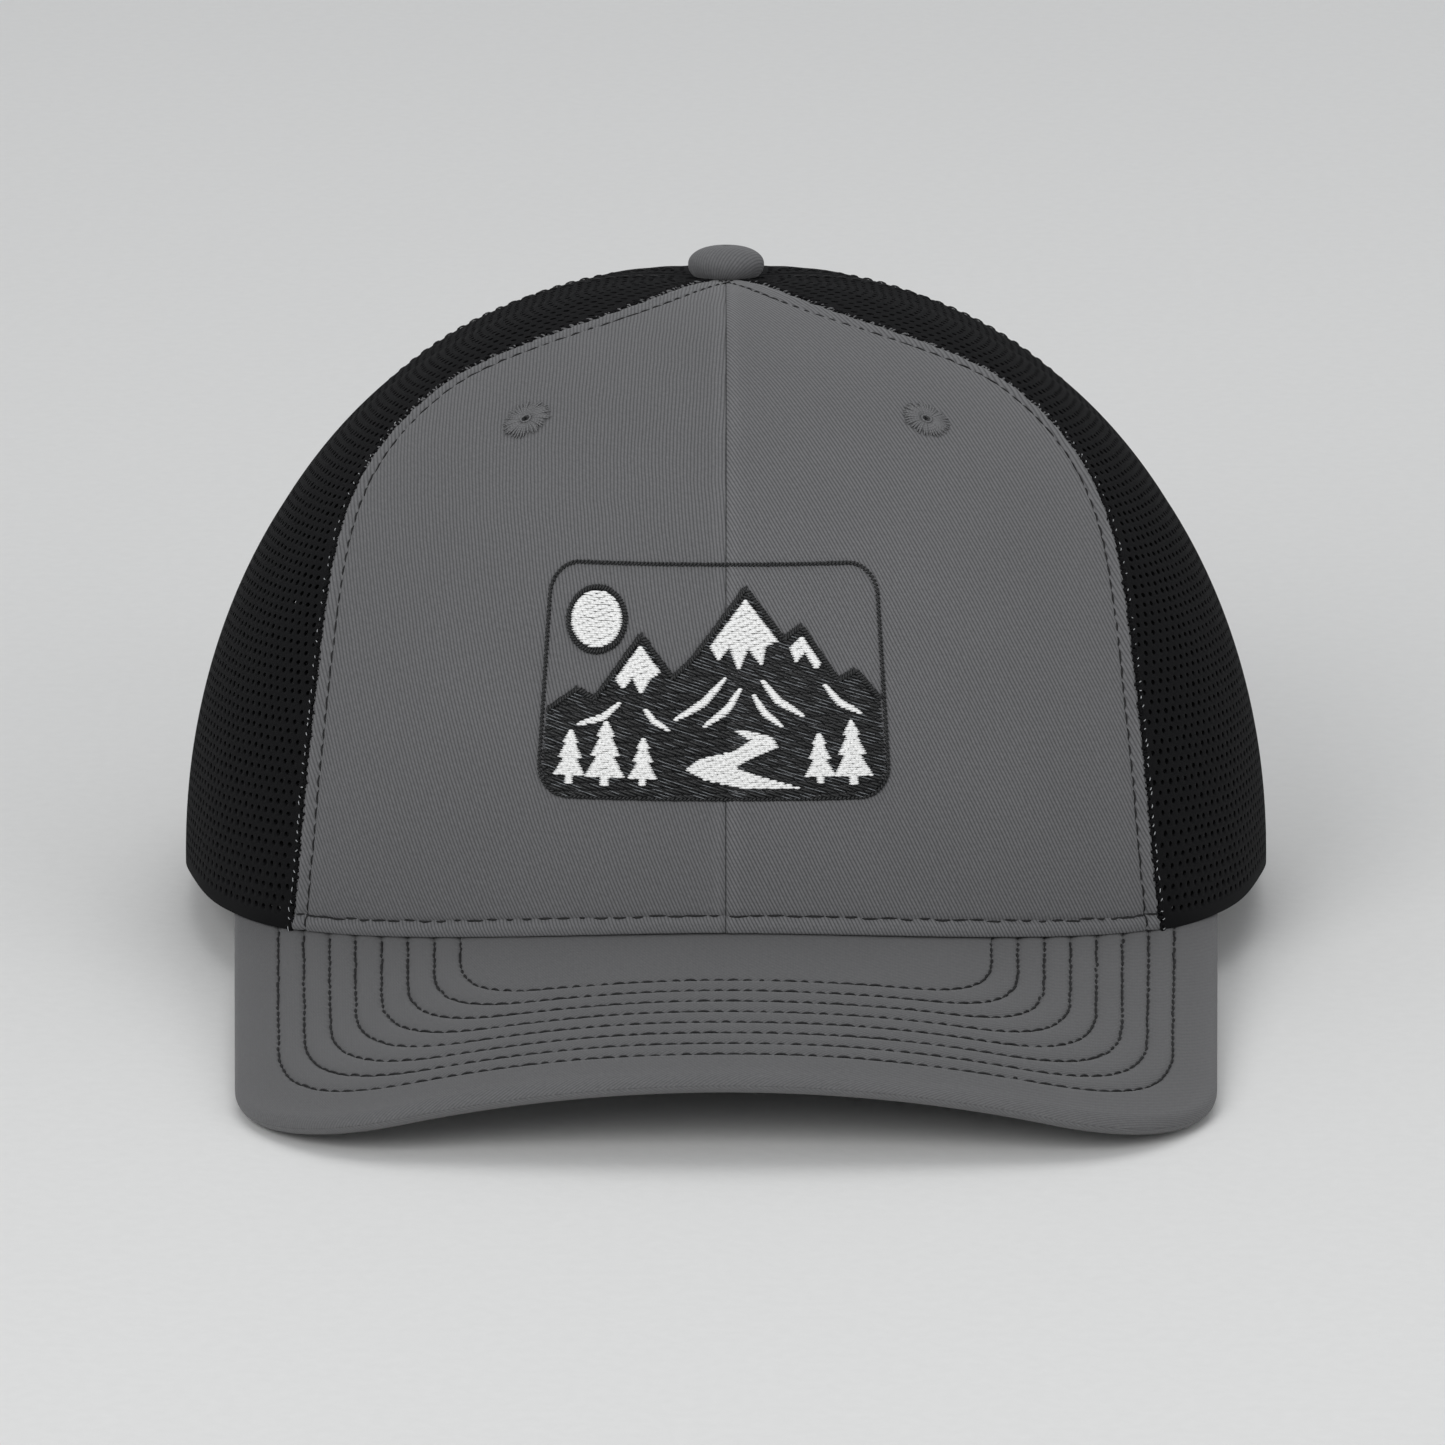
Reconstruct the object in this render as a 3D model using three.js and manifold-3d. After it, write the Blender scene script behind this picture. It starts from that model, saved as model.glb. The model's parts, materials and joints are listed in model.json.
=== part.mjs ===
// Snapback trucker cap, in millimetres, +Z up, with the bill pointing along -Y.
// The cap is modelled in the plane of its own rim and then tipped back, so that it stands
// on the two front corners of its bill and on the rear of its rim, as a cap does on a table.
// "Left" and "right" are the wearer's.
import * as THREE from 'three';
import { mergeVertices } from 'three/addons/utils/BufferGeometryUtils.js';
import Module from 'manifold-3d';

const wasm = await Module();
wasm.setup();

const rad = THREE.MathUtils.degToRad;

// ---------------------------------------------------------------- driving dimensions
const CROWN = {
  halfWidth: 92, // at the rim
  front: 97, // rim centre to the front
  rear: 99, // rim centre to the back
  planPower: 2.2, // superellipse of the rim: 2 is an ellipse
  height: 95, // rim plane to the top, under the button
  topShift: 2, // how far the top lies behind the rim centre
  powerFront: 2.37, // profiles from rim to top: higher is boxier
  powerSide: 2.1,
  powerRear: 2.2,
  rearRim: -3.5, // height of the rim at the back
  level: [rad(62), rad(100)], // where the rim leaves the bill, and where it is level
  sag: 3, // how far the rim hangs lower at the sides
  sagAngle: rad(88),
  sagWidth: rad(22),
  topHole: 2.2, // radius left free for the button's shank
  dimple: 1.2, // how far the button pulls the top down
  dimpleRadius: 14,
};
const SEAM = {
  front: rad(46), // front seam, angle from the centre of the front
  splay: rad(1.7), // how far that seam swings back again at the rim
  splayHeight: rad(5),
  bulge: rad(12), // how far it swings back at its shoulder
  shoulder: rad(50), // where the shoulder is, as an angle up the profile
  shoulderWidth: rad(21),
  draw: rad(20), // how far it swings forward on its way into the button
  drawn: [rad(56), rad(82)],
  rear: rad(116), // seam between the side and rear panels
  gap: 0.3, // clearance between neighbouring pieces
};
const BILL = {
  halfWidth: 82.3, // along the curve, beside the middle of the front seam
  length: 57.6, // rim to the front edge at the centre
  narrowing: 0.00053, // share of the width lost per millimetre forward
  archRadius: 228, // radius that the bill is bent to
  slope: rad(12), // fall of the bill below the rim plane
  drop: 1.3, // from the rim plane down to the bill
  cornerRadius: 29,
  frontRadius: 2000, // radius of the front edge
  tuck: 4, // seam allowance under the crown
  fabric: 0.5,
  board: 1.8,
  boardInset: 2,
  rounds: 6, // repeats that settle where its back outline lies
};
const LAYER = { // depth below the outer face of the crown, and thickness
  panel: [0, 0.8],
  backing: [1.1, 0.6],
  tape: [2.2, 0.5],
  strapTab: [1.7, 1.2],
  sweatband: [3.2, 1.0],
  label: [4.9, 0.3],
  binding: [-0.6, 2.0],
  emblem: [-0.9, 0.6],
};
const SWEATBAND = { height: 33, endX: 48, aboveRim: 1 };
const TAPE = { width: 13, taper: 0.22, topRadius: 9, start: rad(1.5) };
const ARCH = {
  halfWidth: 45,
  centre: 4, // height of the middle of its rounded top
  height: 43,
  binding: 8,
  bottom: -12, // below any part of the rim
  fromY: 30, // the opening is cut through the rear of the crown only
  toY: 130,
  spread: rad(48), // part of the crown that the binding is cut from
  rise: rad(50),
};
const STRAP = {
  width: 19,
  bottom: -1.2, // clear of the table behind the rim
  bend: 106, // radius that the straps follow
  hinge: 43.5, // where a strap leaves its sewn tab, from the centre of the back
  tip: 21, // how far a strap reaches past the centre
  tipRadius: 5,
  flat: 24, // how far past the centre a strap lies level before it turns in to its tab
  tabEnd: 60,
  thickness: 1.2,
  pitch: 10,
  count: 6,
  firstStud: 15,
  studRadius: 1.7,
  studHeight: 1.8,
  studRoot: 0.3, // how deep a stud starts in its strap
  holeRadius: 2.4,
  lift: 1.5, // how far the studded strap lies behind the holed one
};
const BUTTON = {
  radius: 6.5,
  dome: 3.2,
  roundness: 0.8, // 1 is an ellipse, lower is flatter on top
  skirt: 2.0,
  hem: 0.3, // how far the skirt draws in halfway down
  foot: 1, // and at its foot
  cover: 0.6,
  shell: 0.5,
  shank: 1.2,
  shankLength: 5,
  clear: 0.4, // over the dimple
};
const PLATE = { radius: 5, thickness: 0.6, hole: 1.6, drop: 3.1 };
const EYELET = {
  angle: rad(31),
  rise: rad(52.6),
  radius: 4.2,
  hole: 0.9,
  thickness: 0.6,
  proud: 0.3,
  // [share of the radius, share of the thickness] around its rounded section
  section: [[1, 0], [0.93, 0.8], [0.6, 1]],
  lip: 0.6, // thickness at the hole, as a share
};
const EMBLEM = { width: 56.4, bottom: 21.2, top: 57.9, shift: -2, corner: 5, margin: 2 };
const LABEL = { angle: rad(96), width: 28, bottom: 8, height: 16 };
const FLAT = 1; // how much of the rear rim the table face takes off
const THROUGH = 8; // length of a rod that cuts right through any layer
const TABLE = [400, 600, 60];

// ---------------------------------------------------------------- the crown's surface
const clamp01 = (t) => Math.min(1, Math.max(0, t));
const smooth = (a, b, t) => {
  const s = clamp01((t - a) / (b - a));
  return s * s * (3 - 2 * s);
};
const bell = (t, middle, width) => Math.exp(-(((t - middle) / width) ** 2));

// Height of the bill's top face above a point of the rim plane.
function billHeight(x, y) {
  const bend = BILL.archRadius - Math.sqrt(BILL.archRadius ** 2 - x * x);
  const q = (-CROWN.front - y + bend * Math.sin(BILL.slope)) / Math.cos(BILL.slope);
  return -BILL.drop - q * Math.sin(BILL.slope) - bend * Math.cos(BILL.slope);
}

// Plan radius of the rim at an angle from the front, a depth inside its outer face.
function rimRadius(theta, depth) {
  const length = (Math.cos(theta) > 0 ? CROWN.front : CROWN.rear) - depth;
  const across = Math.abs(Math.sin(theta)) / (CROWN.halfWidth - depth);
  const along = Math.abs(Math.cos(theta)) / length;
  return (across ** CROWN.planPower + along ** CROWN.planPower) ** (-1 / CROWN.planPower);
}

// The rim rides on the bill in front, sags a little at the sides and is level at the back.
function rimHeight(theta, depth) {
  const r = rimRadius(theta, depth);
  const onBill = billHeight(r * Math.sin(theta), -r * Math.cos(theta)) + SEAM.gap;
  const level = smooth(...CROWN.level, Math.abs(theta));
  const sag = CROWN.sag * bell(Math.abs(theta), CROWN.sagAngle, CROWN.sagWidth);
  return onBill * (1 - level) + (CROWN.rearRim - sag) * level;
}

function profilePower(theta) {
  const c = Math.cos(theta);
  const towards = c > 0 ? CROWN.powerFront : CROWN.powerRear;
  return CROWN.powerSide + (towards - CROWN.powerSide) * Math.abs(c);
}

// A point of the crown: theta from the front, rise 0 at the rim and 90 degrees at the top.
function crownPoint(theta, rise, depth) {
  const power = 2 / profilePower(theta);
  const r = rimRadius(theta, depth) * Math.cos(rise) ** power;
  const rim = rimHeight(theta, depth);
  const dimple = CROWN.dimple * bell(r, 0, CROWN.dimpleRadius);
  const z = rim + (CROWN.height - depth - rim) * Math.sin(rise) ** power - dimple;
  const y = -r * Math.cos(theta) + CROWN.topShift * Math.sin(rise) ** 2;
  return new THREE.Vector3(r * Math.sin(theta), y, z);
}

// The rise at which the crown reaches a height.
function riseAt(theta, z, depth) {
  const rim = rimHeight(theta, depth);
  const share = clamp01((z - rim) / (CROWN.height - depth - rim));
  return Math.asin(share ** (profilePower(theta) / 2));
}

// The rise at which the crown has drawn in to a plan radius.
function riseAtRadius(theta, radius, depth) {
  return Math.acos((radius / rimRadius(theta, depth)) ** (profilePower(theta) / 2));
}

// The angle, on the front or the rear half, at which the crown has this x at this height.
function angleAt(x, z, depth, front) {
  let low = 0;
  let high = Math.PI / 2;
  for (let step = 0; step < 40; step += 1) {
    const middle = (low + high) / 2;
    const theta = front ? middle : Math.PI - middle;
    const reached = crownPoint(theta, riseAt(theta, z, depth), depth).x < Math.abs(x);
    if (reached) low = middle;
    else high = middle;
  }
  return Math.sign(x) * (front ? low : Math.PI - low);
}

function frontSeam(rise) {
  const bulge = SEAM.bulge * bell(rise, SEAM.shoulder, SEAM.shoulderWidth);
  const splay = SEAM.splay * Math.exp(-rise / SEAM.splayHeight);
  return SEAM.front + splay + bulge - SEAM.draw * smooth(...SEAM.drawn, rise);
}
const rearSeam = () => SEAM.rear;
const centreFront = () => 0;
const centreRear = () => Math.PI;

// ---------------------------------------------------------------- solids
const toGeometry = (positions, index) => {
  const geometry = new THREE.BufferGeometry();
  geometry.setAttribute('position', new THREE.Float32BufferAttribute(positions, 3));
  geometry.setIndex(index);
  return geometry;
};

function volume(positions, index) {
  let sum = 0;
  const corner = (i) => new THREE.Vector3().fromArray(positions, 3 * index[i]);
  for (let i = 0; i < index.length; i += 3) {
    sum += corner(i).dot(corner(i + 1).cross(corner(i + 2)));
  }
  return sum / 6;
}

// A closed solid between two faces: point(u, v, side) gives the outer face at side 0 and
// the inner one at side 1.
function sheetSolid(nu, nv, point) {
  const positions = [];
  for (let side = 0; side < 2; side += 1) {
    for (let j = 0; j <= nv; j += 1) {
      for (let i = 0; i <= nu; i += 1) positions.push(...point(i / nu, j / nv, side));
    }
  }
  const id = (i, j, side) => (side * (nv + 1) + j) * (nu + 1) + i;
  const index = [];
  const quad = (a, b, c, d) => index.push(a, b, c, a, c, d);
  for (let j = 0; j < nv; j += 1) {
    for (let i = 0; i < nu; i += 1) {
      quad(id(i, j, 0), id(i + 1, j, 0), id(i + 1, j + 1, 0), id(i, j + 1, 0));
      quad(id(i, j, 1), id(i, j + 1, 1), id(i + 1, j + 1, 1), id(i + 1, j, 1));
    }
  }
  for (let i = 0; i < nu; i += 1) {
    quad(id(i, 0, 0), id(i, 0, 1), id(i + 1, 0, 1), id(i + 1, 0, 0));
    quad(id(i, nv, 0), id(i + 1, nv, 0), id(i + 1, nv, 1), id(i, nv, 1));
  }
  for (let j = 0; j < nv; j += 1) {
    quad(id(0, j, 0), id(0, j + 1, 0), id(0, j + 1, 1), id(0, j, 1));
    quad(id(nu, j, 0), id(nu, j, 1), id(nu, j + 1, 1), id(nu, j + 1, 0));
  }
  if (volume(positions, index) < 0) index.reverse();
  return toGeometry(positions, index);
}

function toSolid(geometry) {
  const bare = geometry.clone();
  bare.deleteAttribute('normal');
  bare.deleteAttribute('uv');
  const merged = mergeVertices(bare, 1e-4);
  const vertProperties = new Float32Array(merged.attributes.position.array);
  const triVerts = new Uint32Array(merged.index.array);
  return new wasm.Manifold(new wasm.Mesh({ numProp: 3, vertProperties, triVerts }));
}

function fromSolid(solid) {
  const mesh = solid.getMesh();
  return toGeometry(Array.from(mesh.vertProperties), Array.from(mesh.triVerts));
}

const cut = (geometry, ...tools) => fromSolid(
  tools.reduce((left, tool) => left.subtract(toSolid(tool)), toSolid(geometry)),
);
const join = (geometry, ...others) => fromSolid(
  others.reduce((all, other) => all.add(toSolid(other)), toSolid(geometry)),
);
const common = (geometry, tool) => fromSolid(toSolid(geometry).intersect(toSolid(tool)));

// A prism over an outline in the XZ plane, from one y to another.
function prism(shape, y0, y1) {
  const options = { depth: y1 - y0, bevelEnabled: false, curveSegments: 14 };
  return new THREE.ExtrudeGeometry(shape, options).rotateX(Math.PI / 2).translate(0, y1, 0);
}

// A solid of revolution about +Z from [radius, height] pairs.
function turned(profile, sides) {
  const points = profile.map(([r, z]) => new THREE.Vector2(r, z));
  const lathe = new THREE.LatheGeometry(points, sides).rotateX(Math.PI / 2);
  lathe.deleteAttribute('normal');
  lathe.deleteAttribute('uv');
  const merged = mergeVertices(lathe, 1e-4);
  const positions = Array.from(merged.attributes.position.array);
  const index = Array.from(merged.index.array);
  if (volume(positions, index) < 0) index.reverse();
  return toGeometry(positions, index);
}

// Puts a solid of revolution about +Z at a point of the crown, along its outward normal.
function onCrown(geometry, theta, rise, depth) {
  const here = crownPoint(theta, rise, depth);
  const aside = crownPoint(theta + 0.01, rise, depth).sub(here);
  const above = crownPoint(theta, rise + 0.01, depth).sub(here);
  const normal = aside.cross(above).normalize();
  const turn = new THREE.Quaternion().setFromUnitVectors(new THREE.Vector3(0, 0, 1), normal);
  return geometry.applyQuaternion(turn).translate(here.x, here.y, here.z);
}

const rod = (radius, length, sides = 12) => (
  new THREE.CylinderGeometry(radius, radius, length, sides).rotateX(Math.PI / 2)
);

// ---------------------------------------------------------------- crown panels
// A panel between two seams, held half a gap clear of each.
function panel(from, to, side, [depth, thickness], nu, nv) {
  return sheetSolid(nu, nv, (u, v, face) => {
    const d = depth + face * thickness;
    const middle = (from(0) + to(0)) / 2;
    const top = riseAtRadius(middle, CROWN.topHole, d);
    const rise = top * v;
    const clear = SEAM.gap / 2 / (rimRadius(middle, d) * Math.cos(rise) ** (2 / profilePower(middle)));
    const a = from(rise) + clear;
    const b = to(rise) - clear;
    return crownPoint(side * (a + (b - a) * u), rise, d);
  });
}

// The plain strip of a panel's height that runs over a seam on the inside.
function seamTape(seam, side, start) {
  const [depth, thickness] = LAYER.tape;
  return sheetSolid(2, 14, (u, v, face) => {
    const d = depth + face * thickness;
    const top = riseAtRadius(seam(Math.PI / 2), TAPE.topRadius, d);
    const rise = start + (top - start) * v;
    const theta = seam(rise);
    const radius = rimRadius(theta, d) * Math.cos(rise) ** (2 / profilePower(theta));
    const half = Math.min(TAPE.width / 2, TAPE.taper * radius);
    return crownPoint(side * theta + ((2 * u - 1) * half) / radius, rise, d);
  });
}

// The opening over the straps, seen from behind, grown by a margin.
function archTool(margin) {
  const a = ARCH.halfWidth + margin;
  const shape = new THREE.Shape();
  shape.moveTo(-a, ARCH.bottom);
  shape.lineTo(a, ARCH.bottom);
  shape.lineTo(a, ARCH.centre);
  shape.absellipse(0, ARCH.centre, a, ARCH.height + margin, 0, Math.PI, false);
  return prism(shape, ARCH.fromY, ARCH.toY);
}

function archBinding() {
  const [depth, thickness] = LAYER.binding;
  const shell = sheetSolid(28, 10, (u, v, face) => {
    const theta = Math.PI + ARCH.spread * (2 * u - 1);
    return crownPoint(theta, ARCH.rise * v, depth + face * thickness);
  });
  return cut(common(shell, archTool(ARCH.binding)), archTool(0), table());
}

function sweatband() {
  const [depth, thickness] = LAYER.sweatband;
  const end = angleAt(SWEATBAND.endX, CROWN.rearRim, depth + thickness, false);
  return sheetSolid(44, 2, (u, v, face) => {
    const d = depth + face * thickness;
    const theta = end * (2 * u - 1);
    const base = rimHeight(theta, d) + SWEATBAND.aboveRim;
    return crownPoint(theta, riseAt(theta, base + SWEATBAND.height * v, d), d);
  });
}

// A rectangle laid on the inside of the crown.
function careLabel() {
  const [depth, thickness] = LAYER.label;
  return sheetSolid(4, 2, (u, v, face) => {
    const d = depth + face * thickness;
    const theta = LABEL.angle + ((u - 0.5) * LABEL.width) / CROWN.halfWidth;
    return crownPoint(theta, riseAt(theta, LABEL.bottom + LABEL.height * v, d), d);
  });
}

// The raised embroidery: a rounded rectangle that lies on both front panels.
function emblem() {
  const [depth, thickness] = LAYER.emblem;
  const half = EMBLEM.width / 2;
  const { bottom, top, margin } = EMBLEM;
  const sheet = sheetSolid(12, 8, (u, v, face) => {
    const d = depth + face * thickness;
    const x = EMBLEM.shift + (half + margin) * (2 * u - 1);
    const z = bottom - margin + (top - bottom + 2 * margin) * v;
    const theta = angleAt(x, z, d, true);
    return crownPoint(theta, riseAt(theta, z, d), d);
  });
  const r = EMBLEM.corner;
  const [left, right] = [EMBLEM.shift - half, EMBLEM.shift + half];
  const shape = new THREE.Shape();
  shape.absarc(right - r, bottom + r, r, -Math.PI / 2, 0, false);
  shape.absarc(right - r, top - r, r, 0, Math.PI / 2, false);
  shape.absarc(left + r, top - r, r, Math.PI / 2, Math.PI, false);
  shape.absarc(left + r, bottom + r, r, Math.PI, 1.5 * Math.PI, false);
  const behind = -CROWN.front / 2; // between the front of the crown and its middle
  return common(sheet, prism(shape, 2 * behind - THROUGH, behind));
}

const onEyelet = (geometry, side, depth) => (
  onCrown(geometry, side * EYELET.angle, EYELET.rise, depth)
);

function ventEyelet(side) {
  const { radius, hole, thickness } = EYELET;
  const profile = [
    [hole, 0],
    ...EYELET.section.map(([out, up]) => [radius * out, thickness * up]),
    [hole, thickness * EYELET.lip],
    [hole, 0],
  ];
  return onEyelet(turned(profile, 20), side, -EYELET.proud);
}
const ventHole = (side) => onEyelet(rod(EYELET.hole, THROUGH), side, 0);

// ---------------------------------------------------------------- bill
// The bill is cloth and board bent to one radius: q runs forward and p across, each line
// of constant p drawing in towards the middle.
const billTurn = (p, q) => (p * (1 - BILL.narrowing * q)) / BILL.archRadius;
function billPoint(p, q, depth) {
  const radius = BILL.archRadius - depth;
  const turn = billTurn(p, q);
  const bend = BILL.archRadius - radius * Math.cos(turn);
  return new THREE.Vector3(
    radius * Math.sin(turn),
    -CROWN.front - q * Math.cos(BILL.slope) + bend * Math.sin(BILL.slope),
    -BILL.drop - q * Math.sin(BILL.slope) - bend * Math.cos(BILL.slope),
  );
}

// The front outline of the flat bill: one long arc, with a corner arc at each end.
function billFront(p, inset) {
  const corner = BILL.cornerRadius - inset;
  const front = BILL.frontRadius - inset;
  const middle = BILL.length - BILL.frontRadius;
  const across = BILL.halfWidth - inset - corner;
  const along = middle + Math.sqrt((front - corner) ** 2 - across ** 2);
  const tangent = (across * front) / (front - corner);
  const x = Math.abs(p);
  if (x < tangent) return middle + Math.sqrt(front ** 2 - x ** 2);
  return along + Math.sqrt(Math.max(0, corner ** 2 - (x - across) ** 2));
}

// The back outline follows the rim of the crown, a seam allowance inside it. Its width
// depends on how far back it lies, so each round starts from the answer of the last.
function billBack(p) {
  let q = 0;
  for (let round = 0; round < BILL.rounds; round += 1) {
    const turn = billTurn(p, q);
    const x = BILL.archRadius * Math.sin(turn);
    const share = (Math.abs(x) / (CROWN.halfWidth - BILL.tuck)) ** CROWN.planPower;
    const y = -(CROWN.front - BILL.tuck) * (1 - share) ** (1 / CROWN.planPower);
    const bend = BILL.archRadius * (1 - Math.cos(turn));
    q = (-CROWN.front - y + bend * Math.sin(BILL.slope)) / Math.cos(BILL.slope);
  }
  return q;
}

function billLayer(depth, thickness, inset) {
  return sheetSolid(26, 5, (u, v, face) => {
    const p = (BILL.halfWidth - inset) * Math.sin(Math.PI * (u - 0.5));
    const back = billBack(p);
    return billPoint(p, back + (billFront(p, inset) - back) * v, depth + face * thickness);
  });
}

const boardDepth = BILL.fabric + SEAM.gap;
const undersideDepth = boardDepth + BILL.board + SEAM.gap;

// ---------------------------------------------------------------- snap straps
// Distance s along the straps is counted from the centre of the back, positive to the left.
function strapAngle(s) {
  const x = STRAP.bend * Math.sin(s / STRAP.bend);
  const y = CROWN.rear - STRAP.bend + STRAP.bend * Math.cos(s / STRAP.bend);
  return Math.atan2(x, -y);
}

function strapPoint(s, z, depth) {
  const theta = strapAngle(s);
  return crownPoint(theta, riseAt(theta, z, depth), depth);
}

const sewnDepth = LAYER.strapTab[0];
const strapMiddle = STRAP.bottom + STRAP.width / 2;

// Depth of a strap's outer face: sewn behind the binding, nearer the surface at its middle.
const strapDepth = (s, lift) => lift + (sewnDepth - lift) * smooth(STRAP.flat, STRAP.hinge, s);

// A strap from its hinge line to its rounded tip; side is +1 for the one sewn at the left.
function strap(side, lift) {
  const round = STRAP.tipRadius;
  return sheetSolid(18, 2, (u, v, face) => {
    const along = STRAP.hinge - (STRAP.hinge + STRAP.tip) * Math.sin((Math.PI / 2) * u);
    const left = along + STRAP.tip;
    const pinch = left < round ? round - Math.sqrt(round ** 2 - (round - left) ** 2) : 0;
    const z = strapMiddle + (STRAP.width / 2 - pinch) * (2 * v - 1);
    return strapPoint(side * along, z, strapDepth(along, lift) + face * STRAP.thickness);
  });
}

function strapTab(side) {
  const start = STRAP.hinge + SEAM.gap;
  return sheetSolid(5, 2, (u, v, face) => {
    const s = side * (start + (STRAP.tabEnd - start) * u);
    return strapPoint(s, STRAP.bottom + STRAP.width * v, sewnDepth + face * STRAP.thickness);
  });
}

// Puts a rod through or on a strap at each of its stations.
function atStations(side, lift, make) {
  return Array.from({ length: STRAP.count }, (_, i) => {
    const along = STRAP.pitch * i - STRAP.firstStud;
    const theta = strapAngle(side * along);
    const depth = strapDepth(along, lift);
    return onCrown(make(), theta, riseAt(theta, strapMiddle, depth), depth);
  });
}

function holedStrap() {
  const holes = atStations(1, 0, () => rod(STRAP.holeRadius, THROUGH));
  return cut(strap(1, 0), ...holes);
}

function studdedStrap() {
  const length = STRAP.studHeight + STRAP.studRoot;
  const middle = length / 2 - STRAP.studRoot;
  const stud = () => rod(STRAP.studRadius, length).translate(0, 0, middle);
  return join(strap(-1, STRAP.lift), ...atStations(-1, STRAP.lift, stud));
}

// ---------------------------------------------------------------- button
// A thin dome: a rounded top over a short skirt that draws in at its foot.
function domeOutline(inset) {
  const r = BUTTON.radius - inset;
  const outline = [];
  for (let step = 6; step >= 0; step -= 1) {
    const a = (Math.PI / 12) * step;
    const height = BUTTON.skirt + (BUTTON.dome - inset) * Math.sin(a);
    outline.push([r * Math.cos(a) ** BUTTON.roundness, height]);
  }
  outline[0][0] = 0;
  outline.push([r - BUTTON.hem, BUTTON.skirt / 2], [r - BUTTON.foot, 0]);
  return outline;
}

function buttonCover() {
  const inner = domeOutline(BUTTON.cover).reverse();
  return turned([...domeOutline(0), ...inner], 20);
}

// The metal dome inside the cover, with the shank that goes through the top of the crown.
function buttonShell() {
  const inset = BUTTON.cover + SEAM.gap;
  const outer = domeOutline(inset);
  const inner = domeOutline(inset + BUTTON.shell).reverse();
  inner.pop();
  const ceiling = inner[inner.length - 1][1];
  const shank = [
    [BUTTON.shank, ceiling],
    [BUTTON.shank, -BUTTON.shankLength],
    [0, -BUTTON.shankLength],
  ];
  return turned([...outer, ...inner, ...shank], 20);
}

function backPlate() {
  const low = -PLATE.drop - PLATE.thickness;
  const profile = [
    [PLATE.hole, low],
    [PLATE.radius, low],
    [PLATE.radius, -PLATE.drop],
    [PLATE.hole, -PLATE.drop],
    [PLATE.hole, low],
  ];
  return turned(profile, 20);
}

const buttonHeight = CROWN.height - CROWN.dimple + BUTTON.clear;
const atTop = (geometry) => geometry.translate(0, CROWN.topShift, buttonHeight);

// ---------------------------------------------------------------- how the cap stands
// The back stands on the lower ends of the arch binding, trimmed flat by the table.
const heel = crownPoint(Math.PI - Math.atan2(ARCH.halfWidth, CROWN.rear), 0, LAYER.binding[0]);
heel.z += FLAT;

// The cap tips back until the lowest point of the bill's underside is level with the heel.
function restTilt() {
  let tilt = 0;
  const depth = undersideDepth + BILL.fabric;
  for (let step = 0; step <= 200; step += 1) {
    const p = BILL.halfWidth * Math.sin((Math.PI / 2) * (step / 200));
    const low = billPoint(p, billFront(p, 0), depth);
    tilt = Math.max(tilt, Math.atan2(heel.z - low.z, heel.y - low.y));
  }
  return tilt;
}
const tilt = restTilt();

// Everything below the table's face.
function table() {
  const slab = new THREE.BoxGeometry(...TABLE).translate(0, 0, -TABLE[2] / 2);
  return slab.rotateX(tilt).translate(0, heel.y, heel.z);
}

// ---------------------------------------------------------------- the assembly
const paint = (color, roughness, metalness = 0) => (
  () => new THREE.MeshStandardMaterial({ color, roughness, metalness })
);
const GREY_TWILL = paint(0x5c5c5e, 0.9);
const BLACK_NET = paint(0x1c1d1f, 0.8);
const BACKING = paint(0x17181a, 0.95);
const TAPE_CLOTH = paint(0x26272a, 0.9);
const BAND_CLOTH = paint(0x2b2c2f, 0.9);
const STRAP_PLASTIC = paint(0x151617, 0.45);
const BOARD_PLASTIC = paint(0xd9d9d4, 0.6);
const STEEL = paint(0x9a9da0, 0.35, 1);
const THREAD = paint(0x2a2b2d, 0.7);
const LABEL_CLOTH = paint(0xe6e6e2, 0.85);

const cap = new THREE.Group();
cap.rotation.x = -tilt;

function add(name, geometry, material) {
  const mesh = new THREE.Mesh(geometry, material());
  mesh.name = name;
  cap.add(mesh);
}

for (const [word, side] of [['left', 1], ['right', -1]]) {
  const front = panel(centreFront, frontSeam, side, LAYER.panel, 9, 14);
  const backing = panel(centreFront, frontSeam, side, LAYER.backing, 9, 14);
  const rear = panel(rearSeam, centreRear, side, LAYER.panel, 12, 14);
  add(`front_panel_${word}`, cut(front, ventHole(side)), GREY_TWILL);
  add(`front_backing_${word}`, cut(backing, ventHole(side)), BACKING);
  add(`side_mesh_${word}`, panel(frontSeam, rearSeam, side, LAYER.panel, 12, 14), BLACK_NET);
  add(`rear_mesh_${word}`, cut(rear, archTool(ARCH.binding + SEAM.gap), table()), BLACK_NET);
  add(`front_side_tape_${word}`, seamTape(frontSeam, side, TAPE.start), TAPE_CLOTH);
  add(`side_rear_tape_${word}`, seamTape(rearSeam, side, TAPE.start), TAPE_CLOTH);
  add(`vent_eyelet_${word}`, ventEyelet(side), GREY_TWILL);
}
const aboveArch = ARCH.centre + ARCH.height + ARCH.binding + 1;
const aboveBinding = riseAt(Math.PI, aboveArch, LAYER.tape[0]);
add('centre_front_tape', seamTape(centreFront, 1, TAPE.start), TAPE_CLOTH);
add('centre_rear_tape', seamTape(centreRear, 1, aboveBinding), TAPE_CLOTH);
add('arch_binding', archBinding(), TAPE_CLOTH);
add('sweatband', sweatband(), BAND_CLOTH);
add('care_label', careLabel(), LABEL_CLOTH);
add('emblem', emblem(), THREAD);

add('bill_top_fabric', billLayer(0, BILL.fabric, 0), GREY_TWILL);
add('bill_board', billLayer(boardDepth, BILL.board, BILL.boardInset), BOARD_PLASTIC);
add('bill_bottom_fabric', billLayer(undersideDepth, BILL.fabric, 0), GREY_TWILL);

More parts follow.
